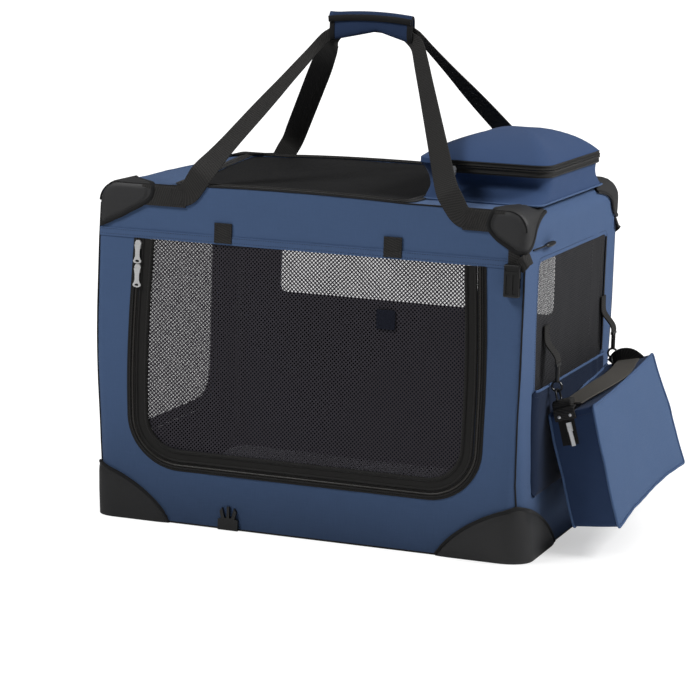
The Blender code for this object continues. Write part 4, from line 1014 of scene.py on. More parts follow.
def zip_round(label, side, half, bow):
    """The wall's tape and coil, and the door's own tape; returns both."""
    near, out = line_on(side, run_of(half, 0.0, bow), 0.0, 0.02)
    wall = sweep(label + "_wall_tape", near, out, WALL_TAPE, tape_black)
    door = sweep(label + "_door_tape", near, out, DOOR_TAPE, tape_black)
    middle, out = line_on(side, run_of(half, 0.0040, bow), 0.0014, 0.02)
    rail = sweep(label + "_coil_core", middle, out, circle(0.0014), coil_finish)
    teeth = repeated(label + "_coil", [(middle, out)], TOOTH, (0.0012, 0.0044, 0.0026),
                     coil_finish, 5)
    edge, out = line_on(side, run_of(half, -0.0181, bow), 0.0037, 0.02)
    outer, wall_out = line_on(side, run_of(half, 0.0112, bow), 0.0014, 0.02)
    wall = joined(label + "_zip", wall, rail, teeth,
                  seam(label + "_tape_seam", [(outer, wall_out)], thread_black, 0.0034, 3))
    door = joined(label + "_tape", door,
                  seam(label + "_binding_seam", [(edge, out)], thread_black, 0.0034, 4))
    return wall, door


DOORS = (("front", front_side, DOOR_HALF, 0.006, door_mesh_finish, 11),
         ("left", left_side, LEFT_DOOR_HALF, 0.0, fine_mesh_finish, 12))
for label, side, half, bow, *_ in DOORS:
    wall_part, door_part = zip_round(label, side, half, bow)
    sewn(wall_part, "base", "zip", folds="fold")
    sewn(door_part, f"{label}_door", "zip", folds="fold")


# %% Door mesh
def door_mesh(label, side, half, bow, finish, seed):
    piece = panel(f"{label}_door_mesh", run_of(half, -0.0185, bow), [], side, finish,
                  thick=0.0003, pitch=0.012, lift=-0.0006, ripple=0.0016, size=0.11, seed=seed,
                  swell=swelling(half, DOOR_LOW, SEAM, -0.002))
    return sewn(piece, f"{label}_door", "mesh", f"{label}_door", folds="fold")


front_mesh, left_mesh = [door_mesh(*door) for door in DOORS]


# %% [markdown]
# ## Hems and piping
# The doors hang from a doubled blue hem with two rows of stitches, which runs the whole
# length of the wall. Thin dark piping covers the seams where the walls meet, and follows
# the upright corners down to the patches.

# %% Hems
def hem(label, side, half):
    low, high = SEAM - 0.0012, SEAM + 0.0125
    strip = panel(label + "_hem", [(-half, low), (half, low), (half, high), (-half, high)], [],
                  side, blue_cloth, thick=0.0016, pitch=0.010, lift=0.0014, ripple=0.0002, seed=9)
    rows = [line_on(side, [(-half, v), (half, v)], 0.0015)
            for v in (low + 0.0036, high - 0.0026)]
    sewn(joined(label + "_hem", strip, seam(label + "_hem_seam", rows, thread_blue, 0.0040)),
         "base", "fabric", folds="fold")


hem("front", front_side, 0.3485)
hem("left", left_side, end_half - 0.002)


# %% Piping on the upright corners and round the roof
def upright_piping(name, sx, sy):
    z = np.linspace(0.010, SHOULDER_Z - 0.004, 46)
    square = columns(sx * (HALF_LENGTH + 0.0004), sy * (HALF_DEPTH + 0.0004), z)
    return sweep(name, eased(square), (sx * 0.7, sy * 0.7, 0), circle(0.0013), binding_black)


def shoulder_piping(name, sx, sy):
    """Over the rounded shoulder of an end wall and down to the upright piping."""
    angles = np.radians(np.linspace(0, 90, 13))
    points = columns(sx * (SHOULDER_X + (SHOULDER + 0.0004) * np.cos(angles)),
                     sy * (HALF_DEPTH + 0.0002),
                     SHOULDER_Z + (SHOULDER + 0.0004) * np.sin(angles))
    return sweep(name, points, (0, sy, 0), circle(0.0013), binding_black)


pipes = [make(f"{label}_{sx}_{sy}", sx, sy)
         for make, label in ((upright_piping, "piping"), (shoulder_piping, "shoulder"))
         for sx in (-1, 1) for sy in (-1, 1)]
sewn(joined("upright_piping", *pipes), "base", "fabric_dark", folds="fold")
long_x = np.linspace(-SHOULDER_X, SHOULDER_X, 60)
pipes = [sweep(f"{face}_edge", columns(long_x, sy * HALF_DEPTH, ROOF + edge_rise(long_x)),
               (0, 0.7 * sy, 0.7), circle(0.0014), binding_black) for face, sy in FACES]
sewn(joined("roof_piping", *pipes), "roof", "fabric_dark")


# %% [markdown]
# ## Windows
# The right end has a wide window and the back a longer, lower one. Both are knitted mesh
# like the doors, set behind the wall's edge, with a row of stitches round the hole.

# %% Window mesh
def window(name, node, side, hole, finish, seed, bound=()):
    pane = panel(name + "_pane", hole, [], side, finish, thick=0.0003, pitch=0.012,
                 lift=-WALL_THICK / 2 + 0.0004, ripple=0.0012, seed=seed)
    (u0, v0), (u1, v1) = np.min(hole, axis=0), np.max(hole, axis=0)
    ring = rounded_box(u0 - 0.006, u1 + 0.006, v0 - 0.006, v1 + 0.006, 0.015)
    row = line_on(side, ring, 0.0004, closed=True)
    parts = [pane, seam(name + "_seam", [row], thread_blue, 0.0040, seed)]
    for a, b in bound:
        near, out = line_on(side, [a, b], 0.0004)
        parts.append(sweep(name + "_binding", near, out,
                           profile(-30, -8, 30, -8, 30, 6, 0, 12, -30, 6), binding_black))
    return sewn(joined(name, *parts), "base", "mesh", node, folds="fold")


right_window = window("right_window", "right_mesh", right_side, right_hole, side_mesh_finish, 21,
                      [((right_high[1] + 0.001, right_low[2] + 0.01),
                        (right_high[1] + 0.001, SEAM - 0.004))])
back_window = window("back_window", "back_mesh", back_side, back_hole, fine_mesh_finish, 22)


# %% [markdown]
# ## The side pocket
# An open-topped pocket hangs on the right end under the window. Its front sheet stands
# off the wall, comes down to it at the sides and bottom, and has a rolled hem along the
# top. It creases a little towards its far end, where the cloth is spare.

# %% Side pocket
pocket_low, pocket_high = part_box("side_pocket")
SIDE_HALF, SIDE_LOW, SIDE_HIGH = pocket_high[1], pocket_low[2], pocket_high[2]
SIDE_STAND = pocket_high[0] - HALF_LENGTH


def stand_off(u, v):
    edge = np.minimum(SIDE_HALF - np.abs(u), v - SIDE_LOW)
    t = np.clip(edge / 0.022, 0, 1)
    creases = 0.0012 * np.sin(u * 160 + 2.0 * np.sin(v * 22)) * np.clip((u - 0.08) / 0.1, 0, 1)
    return SIDE_STAND * (1 - (1 - t) ** 2) ** 0.5 + creases * t


# The pocket's sheet is painted deep navy, as painted shade from the pouch.
side_sheet = panel("side_pocket_cloth", rounded_box(-SIDE_HALF, SIDE_HALF, SIDE_LOW, SIDE_HIGH,
                                                    0.008), [], right_side, painted_deep_shade_navy,
                   navy_lining, thick=0.0018, pitch=0.008, lift=0.0004, ripple=0.0009,
                   size=0.07, seed=31, swell=stand_off)
hem_u, hem_v = even([(-SIDE_HALF + 0.004, SIDE_HIGH - 0.001),
                     (SIDE_HALF - 0.004, SIDE_HIGH - 0.001)], 0.006, False).T
hem_points = right_side(hem_u, hem_v, stand_off(hem_u, hem_v))
rolled = sweep("side_pocket_hem", hem_points, (1, 0, 0), circle(0.0022), blue_moulded)
row_points = right_side(hem_u, hem_v - 0.009, stand_off(hem_u, hem_v - 0.009) + 0.0009)
side_pocket = joined("side_pocket_sewn", side_sheet, rolled,
                     seam("side_pocket_seam", [(row_points, (1, 0, 0))], thread_blue, 0.0040, 8))
sewn(side_pocket, "base", "fabric", "side_pocket", folds="fold")


# %% [markdown]
# ## The roof
# The roof is a frame of cloth round a large mesh hatch, closed by a zip. The handle holds
# it up a little, so its long edges bow between the handle's feet. The zip's wide tape
# fills the strip between the hatch and the edge, as a dark band with a ridge along it.

# %% Roof cloth, mesh and zip
roof_low, roof_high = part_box("roof_panel")
hatch_low, hatch_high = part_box("roof_mesh")


def pulled(points):
    """The handle drags the hatch's left end askew: outward at the back, inward in front."""
    return [(u - (0.0225 + 0.040 * v / hatch_high[1])
             * min(max((hatch_high[0] - u) / (hatch_high[0] - hatch_low[0]), 0), 1.1), v)
            for u, v in points]


def hatch_ring(grow, radius):
    return pulled(even(rounded_box(hatch_low[0] - grow, hatch_high[0] + grow,
                                   hatch_low[1] - grow, hatch_high[1] + grow, radius), 0.03))


hatch = hatch_ring(0, 0.014)
roof_shape = [(roof_low[0], roof_low[1]), (roof_high[0], roof_low[1]),
              (roof_high[0], roof_high[1]), (roof_low[0], roof_high[1])]
roof_cloth = sewn(panel("roof_cloth", roof_shape, [hatch], roof_side, blue_cloth,
                        navy_lining, ripple=0.0008, seed=41), "roof", "fabric", "roof_panel")

BAND = profile(-90, -4, 90, -4, 90, 10, 26, 14, 18, 28, 0, 33, -18, 28, -26, 14, -90, 10)
roof_pane = panel("roof_pane", hatch, [], roof_side, roof_mesh_finish, thick=0.0003,
                  pitch=0.012, lift=-0.0010, ripple=0.0016, seed=42)
band_line = even(hatch_ring(0.0075, 0.020), 0.010)
near = roof_side(band_line[:, 0], band_line[:, 1], np.full(len(band_line), 0.0008))
roof_band = sweep("roof_zip_band", near, (0, 0, 1), BAND, tape_black, closed=True)
row = line_on(roof_side, hatch_ring(0.0015, 0.015), 0.0022, closed=True)
roof_mesh_piece = sewn(joined("roof_mesh_sewn", roof_pane, roof_band,
                              seam("roof_seam", [row], thread_black, 0.0042, 6)),
                       "roof", "mesh", "roof_mesh")


# %% [markdown]
# ## Corner patches
# Charcoal patches of coated cloth save the corners from wear. At the top each is one soft
# cap: its tongue lies on the long wall, over the end of the handle's webbing, and the rest
# turns over the edge onto the roof and the rounded shoulder. At the floor each wraps
# round its corner and is highest on the corner itself. Their edges are bound and stitched.

# %% Patch shapes
def patch_height(s, width, height, curve=1.45):
    """The bound edge's height above the floor at a distance s from the corner."""
    return height * max(1 - (abs(s) / width) ** curve, 0) ** (1 / curve)


def round_corner(sx, sy):
    """A side that wraps a lower corner: u runs from the long wall round to the end."""
    def side(u, v, lift):
        x = HALF_LENGTH + lift - np.maximum(-u, 0)
        y = HALF_DEPTH + lift - np.maximum(u, 0)
        return eased(columns(sx * x, sy * y, v))
    return side


CAP_ROUND = 0.006


def top_corner(sx, sy):
    """A side that wraps a top corner. In the pattern's plane (u outwards, v up) whatever
    lies past the long wall's outline is turned back over its edge."""
    def side(u, v, lift):
        right, above = u - SHOULDER_X, v - SHOULDER_Z
        reach = np.maximum(np.hypot(right, above), 1e-9)
        on_shoulder, on_roof = (right > 0) & (above > 0), above - right > 0
        nu = np.where(on_shoulder, right / reach, np.where(on_roof, 0.0, 1.0))
        nv = np.where(on_shoulder, above / reach, np.where(on_roof, 1.0, 0.0))
        past = np.where(on_shoulder, reach - SHOULDER,
                        np.where(on_roof, above - SHOULDER, right - SHOULDER))
        half_arc = CAP_ROUND * math.pi / 4
        turn = np.clip((past + half_arc) / (2 * half_arc), 0, 1) * math.pi / 2
        slack = (CAP_ROUND - half_arc) * np.clip(1 + (past + half_arc) / 0.02, 0, 1)
        inner = np.minimum(past, -half_arc) - slack
        offset = inner + CAP_ROUND * np.sin(turn)
        depth = CAP_ROUND * (1 - np.cos(turn)) + np.maximum(past - half_arc, 0)
        shift = offset - past + lift * np.sin(turn)
        y = HALF_DEPTH + lift * np.cos(turn) - depth
        return columns(sx * (u + nu * shift), sy * y, v + nv * shift)
    return side


PATCH_STAND = 0.0028
BINDING = profile(-32, -8, 32, -8, 30, 8, 12, 19, -12, 19, -30, 8)


def padded_lift(outline_edge, depth):
    """A patch is slightly fuller away from its bound edge."""
    edge = np.array(outline_edge)

    def lift(u, v):
        near = np.array([np.min(np.hypot(edge[:, 0] - a, edge[:, 1] - b)) for a, b in zip(u, v)])
        t = np.clip(near / 0.020, 0, 1)
        return depth * t * (2 - t)
    return lift


def floor_patch(face, sy, end, sx):
    wide, deep, tall = 0.130, 0.160, 0.0875
    run = np.concatenate([np.linspace(-wide, 0, 30), np.linspace(0, deep, 34)[1:]])
    top = [(s, 0.0006 + patch_height(s, wide if s < 0 else deep, tall)) for s in run]
    shape = [(-wide, 0.0004), (deep, 0.0004)] + top[-2:0:-1]
    side = round_corner(sx, sy)
    # The floor patch's charcoal is painted darker than the top patches', as painted shade.
    sheet = panel(f"sheet_{face}_{end}", shape, [], side, patch_painted_shade_finish, thick=0.0022,
                  pitch=0.008, lift=PATCH_STAND, swell=padded_lift(top, 0.0022))
    near, out = line_on(side, [(s, max(v - 0.0022, 0.0034)) for s, v in top], PATCH_STAND, 0.006)
    bound = sweep(f"bound_{face}_{end}", near, out, BINDING, binding_black)
    near, out = line_on(side, [(s * 0.94, v - 0.0095) for s, v in top if v > 0.012],
                        PATCH_STAND + 0.0016, 0.006)
    piece = joined(f"floor_patch_{face}_{end}", faced_out(sheet), bound,
                   seam("row", [(near, out)], thread_black, 0.0044, 12))
    return sewn(piece, "base", "leather", f"base_protector_{face}_{end}", folds="fold")


CORNERS = [(*face, *end) for face in FACES for end in ENDS]
for corner in CORNERS:
    floor_patch(*corner)


# %% Top patches
TONGUE = {"left": profile(895, 85, 875, 165, 835, 225, 755, 295, 635, 365, 495, 435, 365,
                          515, 225, 575, 115, 630, 0, 680),
          "right": profile(560, 70, 590, 160, 590, 250, 540, 340, 430, 440, 250, 540, 110,
                           615, 0, 600)}
CAP_BACK = {"left": 0.0885, "right": 0.0520}


def top_patch(face, sy, end, sx):
    side = top_corner(sx, sy)
    edge = [(HALF_LENGTH - a, ROOF - b) for a, b in
            cut_corners([(CAP_BACK[end], 0.0)] + TONGUE[end], 2)]
    far = [(SHOULDER_X + (SHOULDER + back) * math.cos(math.radians(turn)),
            SHOULDER_Z + (SHOULDER + back) * math.sin(math.radians(turn)))
           for turn, back in ((38, 0.110), (48, 0.106), (58, 0.098), (68, 0.086), (79, 0.072),
                              (90, 0.061))]
    diagonal = list(cut_corners([edge[-1], (HALF_LENGTH + 0.025, ROOF - 0.053),
                                 (HALF_LENGTH + 0.042, ROOF - 0.028), far[0]], 3))
    crest = list(cut_corners([far[-1], (SHOULDER_X - 0.012, ROOF + 0.040), edge[0]], 3))
    shape = edge + diagonal[1:] + far[1:] + crest[1:-1]
    sheet = panel(f"sheet_{face}_{end}", shape, [], side, patch_finish, thick=0.0022,
                  pitch=0.006, lift=PATCH_STAND, swell=padded_lift(edge + diagonal, 0.0008))
    bound = []
    for name, line in (("tongue", edge), ("diagonal", diagonal), ("crest", crest)):
        near, out = line_on(side, line, PATCH_STAND, 0.005)
        bound.append(sweep(f"{name}_{face}_{end}", near, out, BINDING, binding_black))
    middle = np.array([HALF_LENGTH - 0.028, ROOF - 0.022])
    rows = [line_on(side, [middle + (np.array(p) - middle) * share for p in edge[1:-2]],
                    PATCH_STAND + 0.0016, 0.005) for share in (0.84, 0.80)]
    parts = [faced_out(sheet), *bound, seam("row", rows, thread_black, 0.0036, 13)]
    if end == "right":
        low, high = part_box(f"{face}_buckle_socket")
        hang = columns((low[0] + high[0]) / 2, sy * (HALF_DEPTH + 0.0014),
                       np.linspace(high[2] - 0.022, ROOF - 0.046, 12))
        parts.append(sweep(f"hang_{face}", hang, (0, sy, 0),
                           profile(-95, -9, 95, -9, 95, 9, -95, 9), webbing_black))
    return sewn(joined(f"top_patch_{face}_{end}", *parts), "roof", "leather",
                f"top_protector_{face}_{end}")


for corner in CORNERS:
    top_patch(*corner)


# %% [markdown]
# ## The handle
# Each webbing lies flat on a long wall under the roof's edge, turns up with a twist, runs
# straight to the grip and stands on edge beside the other one. It is drawn by its middle
# line and the direction across it, smoothed by cutting corners, so that the band turns
# without creasing. Inside the grip the hand has squeezed both, so they are narrower there.

# %% Handle webbing
GRIP_LOW, GRIP_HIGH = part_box("grip")
GRIP_HALF = GRIP_HIGH[0]
GRIP_Z = (GRIP_LOW[2] + GRIP_HIGH[2]) / 2
STRAP_WIDE, STRAP_THICK = 0.038, 0.0025
STRAP_EDGE = [(-0.5, -0.2), (-0.485, -0.5), (-0.25, -0.56), (0.25, -0.56), (0.485, -0.5),
              (0.5, -0.2)]
STRAP_SECTION = np.array(STRAP_EDGE + [(-a, -b) for a, b in STRAP_EDGE]) * (STRAP_WIDE,
                                                                            STRAP_THICK)
# For each leg: how far out it leaves the wall, where the band leaves the grip outward and
# down, how much of its width shows there, a quarter and half way down, and which way its
# width runs on the way down.
LEGS = {(-1, -1): (0.189, 0.012, 0.013, 0.46, 0.66, 0.92, (0.94, 0.14, 0.00)),
        (1, -1): (0.234, 0.012, 0.016, 0.66, 0.76, 0.86, (0.72, 0.00, 0.62)),
        (-1, 1): (0.248, 0.004, 0.020, 0.92, 1.00, 1.00, (0.92, -0.28, 0.27)),
        (1, 1): (0.207, 0.012, 0.004, 0.36, 0.54, 0.90, (0.92, -0.28, 0.27))}


def leg_route(sx, sy):
    """One leg from the grip's middle outward: place, direction across and width."""
    reach, out, dip, tight, quarter, middle, leg = LEGS[sx, sy]
    half, top_y = GRIP_HALF, sy * 0.00185
    face = sy * (HALF_DEPTH + 0.0016)
    foot = np.array((reach - 0.012, face, ROOF + 0.026))
    head = np.array((half + out, top_y + sy * 0.006, GRIP_Z - dip - 0.010))
    rows = [((0, top_y, GRIP_Z), (0, 0, 1), 0.62),
            ((half * 0.7, top_y, GRIP_Z - dip * 0.2), (0, 0, 1), 0.62),
            ((half - 0.006, top_y, GRIP_Z - dip * 0.8), (0.1, 0, 0.99), 0.5),
            ((half + out * 0.4, top_y + sy * 0.002, GRIP_Z - dip - 0.002), (0.45, 0, 0.89), tight),
            (head, (0.75, 0, 0.66), tight),
            (head + (foot - head) * 0.10, (0.85, -sy * 0.1, 0.5), tight),
            (head + (foot - head) * 0.25, leg, quarter), (head + (foot - head) * 0.50, leg, middle),
            (head + (foot - head) * 0.84, leg, 1), (foot, (0.85, 0, 0.50), 1),
            ((reach - 0.002, face, ROOF + 0.010), (0.75, 0, 0.65), 1),
            ((reach + 0.010, face, LAY_Z + 0.006), (0.35, 0, 0.94), 0.92),
            ((reach + 0.022, face, LAY_Z + 0.001), (0, 0, 1), 0.86),
            ((reach + 0.032, face, LAY_Z + 0.001), (0, 0, 1), 0.86)]
    return [np.array([sx * p[0], p[1], p[2], sx * w[0], w[1], w[2], share])
            for p, w, share in rows]


def handle_route(sy):
    left, right = leg_route(-1, sy), leg_route(1, sy)
    left[0][3:6] = right[0][3:6]
    route = cut_corners(left[::-1] + right[1:], 3)
    wide = route[:, 3:6] / np.linalg.norm(route[:, 3:6], axis=1, keepdims=True)
    return route[:, :3], wide, route[:, 6]


def band_along(name, points, wide, finish, section=STRAP_SECTION, squeeze=None):
    """A flat band along points, with the direction across it given at each point."""
    along = directions(points)
    wide = wide - (wide * along).sum(axis=1, keepdims=True) * along
    outward = np.cross(along, wide)
    sections = np.repeat(np.asarray(section)[None], len(points), axis=0)
    if squeeze is not None:
        sections = sections * columns(squeeze, np.ones(len(points)))[:, None, :]
    return sweep(name, points, outward, sections, finish)


for face, sy in FACES:
    points, wide, share = handle_route(sy)
    held = np.clip(1 - (np.abs(points[:, 0]) / GRIP_HALF) ** 2, 0, 1) * (points[:, 2] > 0.7)
    points[:, 2] += 0.0065 * held
    strap = band_along(f"{face}_webbing", points, wide, webbing_black, squeeze=share)
    sewn(strap, "roof", "webbing", f"{face}_strap", folds="handle")


# %% Webbing on the walls
OVER_EDGE = profile(-165, 0, 125, 0, 150, -6, 166, -24, 172, -60, 147, -60, 142, -34, 128,
                    -26, -165, -26)
for face, sy in FACES:
    laid, box_rows = [], []
    for end, sx in ENDS:
        stop = HALF_LENGTH - CAP_BACK[end] + 0.018
        reach = LEGS[sx, sy][0]
        x = np.linspace(reach + 0.016, stop, 16)
        line = columns(sx * x, sy * (HALF_DEPTH + 0.0029), LAY_Z)
        section = OVER_EDGE if sx * -sy > 0 else [(-a, b) for a, b in OVER_EDGE]
        laid.append(sweep(f"laid_{face}_{end}", line, (0, sy, 0), section, webbing_black))
        y = sy * (HALF_DEPTH + 0.0031)
        x0, x1 = sx * (reach + 0.020), sx * min(reach + 0.040, stop - 0.006)
        box = [(x0, y, LAY_Z - 0.012), (x1, y, LAY_Z - 0.012), (x1, y, LAY_Z + 0.011),
               (x0, y, LAY_Z + 0.011), (x0, y, LAY_Z - 0.012), (x1, y, LAY_Z + 0.011)]
        box_rows.append((even(box, 0.004, False), (0, sy, 0)))
    sewn(joined(f"{face}_laid_webbing", *laid, seam("box", box_rows, thread_black, 0.0034, 15)),
         "roof", "webbing")


# %% [markdown]
# ### The grip
# A padded blue wrap holds the two webbings together. The hand has pulled its underside up
# in the middle, its ends are bound in black, and a flap folds over the top and closes on
# the front. It is a loft: the same rounded section again and again, with its top and
# bottom moving as they do in the picture.

# %% Grip
def grip_levels(t):
    """Top, bottom and half thickness of the wrap at t from -1 to 1."""
    top = 0.0205 + 0.0045 * (1 - t ** 2)
    pull = abs((t - 0.15) / (1.15 if t < 0.15 else 0.85)) ** 0.95
    low = -0.0225 * pull - 0.0045 * (1 - pull)
    return top, low, 0.0068 + 0.0012 * (1 - t ** 2)


def grip_ring(x, grow=0.0, sides=28):
    top, low, half = grip_levels(x / GRIP_HALF)
    middle, tall = (top + low) / 2, (top - low) / 2 + grow
    ring = []
    for k in range(sides):
        a = 2 * math.pi * k / sides
        c, s = math.cos(a), math.sin(a)
        ring.append((x, (half + grow) * math.copysign(abs(c) ** 0.75, c),
                     GRIP_Z + middle + tall * math.copysign(abs(s) ** 0.55, s)))
    return ring


stations = np.linspace(-GRIP_HALF, GRIP_HALF, 45)
outer = [grip_ring(x) for x in stations]
inner = [grip_ring(x, -0.0022) for x in stations[::-1]]
# The wrap's blue is painted darker, as painted shade.
wrap = loft("grip_wrap", outer + inner + [outer[0]], painted_shade_blue, caps=False)
ends = []
for x in (-GRIP_HALF + 0.004, GRIP_HALF - 0.004):
    ring = [grip_ring(x + dx, g) for dx, g in ((-0.0045, -0.0016), (-0.0042, 0.0008),
                                                (-0.002, 0.0013), (0.002, 0.0013),
                                                (0.0042, 0.0008), (0.0045, -0.0016))]
    ends.append(loft("grip_end", ring + [ring[0]], binding_black, caps=False))
flap_rings = []
for x in np.linspace(-GRIP_HALF - 0.001, GRIP_HALF - 0.001, 41):
    top, low, half = grip_levels(x / GRIP_HALF)
    curl = 0.0020 * max(0, (-x / GRIP_HALF - 0.72) / 0.28) ** 2
    outline = [(0.006, -0.010), (half + 0.0008, -0.006), (half * 0.75, 0.0006), (0, 0.0018 + curl),
               (-half * 0.75, 0.0010 + curl), (-half - 0.0012 - curl, -0.006 + curl * 0.5),
               (-half - 0.0018 - curl, -0.0118)]
    up = [(x, y, GRIP_Z + top + z) for y, z in outline]
    under = [(x, y * 0.86, GRIP_Z + top + z - 0.0014) for y, z in reversed(outline)]
    flap_rings.append(up + under)
flap = loft("grip_flap", flap_rings, painted_shade_blue)
lip = [(r[6][0], r[6][1] - 0.0004, r[6][2] + 0.0036) for r in flap_rings]
flap_edge = sweep("flap_edge", lip, (0, -1, 0),
                  profile(-50, -10, 50, -10, 50, 4, 42, 12, -42, 12, -50, 4), binding_black)
sewn(joined("grip_wrap", wrap, flap, flap_edge, *ends), "grip", "fabric", "grip")
print("grip from", round(GRIP_LOW[2], 4), "to", round(GRIP_HIGH[2], 4))


# %% [markdown]
# ## The dome pocket
# A pocket stands on the right end of the roof. Its gusset is a soft wall that hollows in
# and flares out to its base seam, and is crumpled at the left where nothing stretches it.
# Its lid is one smooth dome. The zip between them runs round three sides.

# %% Pocket body
def round_ring(x0, x1, y0, y1, radius, bend=6, run=18):
    """A rounded rectangle with the same number of points whatever its size."""
    arcs = [np.array(points) for points in four_arcs(x0, x1, y0, y1, radius, bend)]
    points = []
    for k, curve in enumerate(arcs):
        following = arcs[(k + 1) % 4][0]
        steps = np.linspace(0, 1, run + 1)[1:-1, None]
        points += [curve, curve[-1] + (following - curve[-1]) * steps]
    return np.vstack(points)


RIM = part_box("pocket_body")[1][2]
MOUTH = (0.142, 0.354, -0.171, 0.134)
TRAY_LOW = ROOF + 0.0004


def tray_ring(t, grow=0.0):
    """The gusset at t from its base, 0, to its rim, 1."""
    hollow, flare = math.sin(math.pi * t), (1 - t) ** 2.2
    ring = round_ring(MOUTH[0] + 0.015 * (1 - t) + 0.005 * hollow - grow,
                      MOUTH[1] - 0.006 * (1 - t) - 0.002 * hollow + grow,
                      MOUTH[2] - 0.019 * flare + 0.024 * hollow - grow,
                      MOUTH[3] + 0.045 * flare - 0.007 * hollow + grow,
                      0.020 + 0.004 * t + grow)
    z = TRAY_LOW + (RIM - TRAY_LOW) * t
    ahead = directions(ring, True)
    outward = columns(ahead[:, 1], -ahead[:, 0])
    spare = 0.0008 + 0.0042 * np.clip((0.185 - ring[:, 0]) / 0.03, 0, 1)
    dents = [noise.noise(Vector((x * 34, y * 34, z * 42 + 3))) for x, y in ring]
    ring = ring + outward * (np.array(dents) * spare * hollow)[:, None]
    return at_height(ring, z)


def rim_run(z):
    """The open run of the zip: along the front, round the right end and along the back."""
    x_start, radius, (_, x1, y0, y1) = 0.184, 0.024, MOUTH
    line = even([(x_start, y0), *arc(x1 - radius, y0 + radius, radius, -90, 6),
                 *arc(x1 - radius, y1 - radius, radius, 0, 6), (x_start, y1)], 0.006, False)
    ahead = directions(line)
    return at_height(line, z), columns(ahead[:, 1], -ahead[:, 0], 0)


levels = np.linspace(0, 1, 16)
# The gusset and the dome are the blue painted darker, as painted shade.
gusset = loft("pocket_gusset", [tray_ring(t) for t in levels]
              + [tray_ring(t, -0.0012) for t in levels[::-1]] + [tray_ring(0)], painted_shade_dome_blue,
              caps=False)
lining = loft("pocket_lining", [tray_ring(t, -0.0016) for t in levels]
              + [tray_ring(t, -0.0026) for t in levels[:0:-1]]
              + [tray_ring(0, -0.0040) + (0, 0, 0.0014)], navy_lining)
base_seam = sweep("pocket_base_seam", tray_ring(0, 0.0006) + (0, 0, 0.0012), (0, 0, 1),
                  circle(0.0017), blue_moulded, closed=True)
rim_line, rim_out = rim_run(RIM)
TRAY_TAPE = profile(-112, 0, -2, 0, -2, 24, -12, 31, -26, 27, -34, 13, -78, 12, -86, 21, -96,
                    13, -110, 12)
tray_tape = sweep("pocket_tray_tape", rim_line, rim_out, TRAY_TAPE, tape_black)
tray_teeth = repeated("pocket_teeth", [(rim_line + rim_out * 0.0019 + (0, 0, -0.0012), rim_out)],
                      TOOTH, HALF_TOOTH, coil_finish, 15)
hinge = np.array([(MOUTH[0] - 0.0004, y, RIM - 0.0002) for y in np.linspace(-0.146, 0.110, 40)])
pocket = joined("roof_pocket_sewn", gusset, lining, base_seam, tray_tape, tray_teeth,
                sweep("pocket_hinge", hinge, (-1, 0, 0), circle(0.0016), blue_moulded))
sewn(pocket, "roof", "fabric", "pocket_body")


# %% Pocket lid
LID_LOW, LID_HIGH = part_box("pocket_lid")


def lid_ring(share, thin=0.0):
    """The dome at a share of the way from its top to its rim."""
    ring = round_ring(*MOUTH, 0.024)
    rim_middle = np.array([(MOUTH[0] + MOUTH[1]) / 2, (MOUTH[2] + MOUTH[3]) / 2])
    top_middle = np.array([0.259, 0.0])
    middle = top_middle + (rim_middle - top_middle) * share
    flat = middle + (ring - rim_middle) * max(share - thin * 9, 0.02)
    rise = 0.0078 + (LID_HIGH[2] - LID_LOW[2] - 0.0108) * max(1 - share ** 2.1, 0) ** 0.92
    dents = [noise.noise(Vector((x * 15, y * 15, 5))) for x, y in flat]
    z = LID_LOW[2] + rise - thin + np.array(dents) * 0.0012 * (1 - share ** 6)
    return at_height(flat, z)


shares = [0.03, 0.12, 0.25, 0.38, 0.50, 0.60, 0.69, 0.77, 0.83, 0.88, 0.92, 0.95, 0.97, 0.985, 1.0]
lip_out, lip_in = lid_ring(1.0), lid_ring(1.0, 0.0013)
lip_out[:, 2] = lip_in[:, 2] = LID_LOW[2] + 0.0003
dome = loft("pocket_dome", [lid_ring(s) for s in shares] + [lip_out, lip_in]
            + [lid_ring(s, 0.0013) for s in shares[::-1]], painted_shade_dome_blue)
lid_line, lid_out = rim_run(LID_LOW[2])
LID_TAPE = profile(3, 0, 72, 0, 72, 12, 62, 20, 52, 12, 34, 13, 26, 27, 12, 31, 3, 24)
lid_tape = sweep("pocket_lid_tape", lid_line, lid_out, LID_TAPE, tape_black)
lid_teeth = repeated("pocket_lid_teeth", [(lid_line + lid_out * 0.0019 + (0, 0, 0.0013), lid_out)],
                     TOOTH, HALF_TOOTH, coil_finish, 16)
sewn(joined("pocket_lid_sewn", dome, lid_tape, lid_teeth), "pocket_lid", "fabric", "pocket_lid")


# %% [markdown]
# ## The pouch
# The pouch hangs from two snap hooks with its bottom swung out. It is made like the real
# one: two faces joined by a gusset, with piping in both seams. One function bends them
# all together, so the bottom rises in its middle, the top climbs towards the rear and the
# faces swell a little.

# %% Pouch cloth
PIVOT_X, PIVOT_Z, TILT = 0.372, 0.2535, math.radians(17.5)
POUCH_MID = np.array([0.023, 0.030, -0.1245])
POUCH_HALF = np.array([0.040, 0.180, 0.090])


def hung(points):
    """From the pouch's own frame to the room."""
    x, y, z = np.asarray(points, float).T
    c, s = math.cos(TILT), math.sin(TILT)
    return columns(PIVOT_X + x * c - z * s, y, PIVOT_Z + x * s + z * c)


def turned(ways):
    """Directions, from the pouch's own frame to the room."""
    return hung(ways) - hung([(0, 0, 0)])


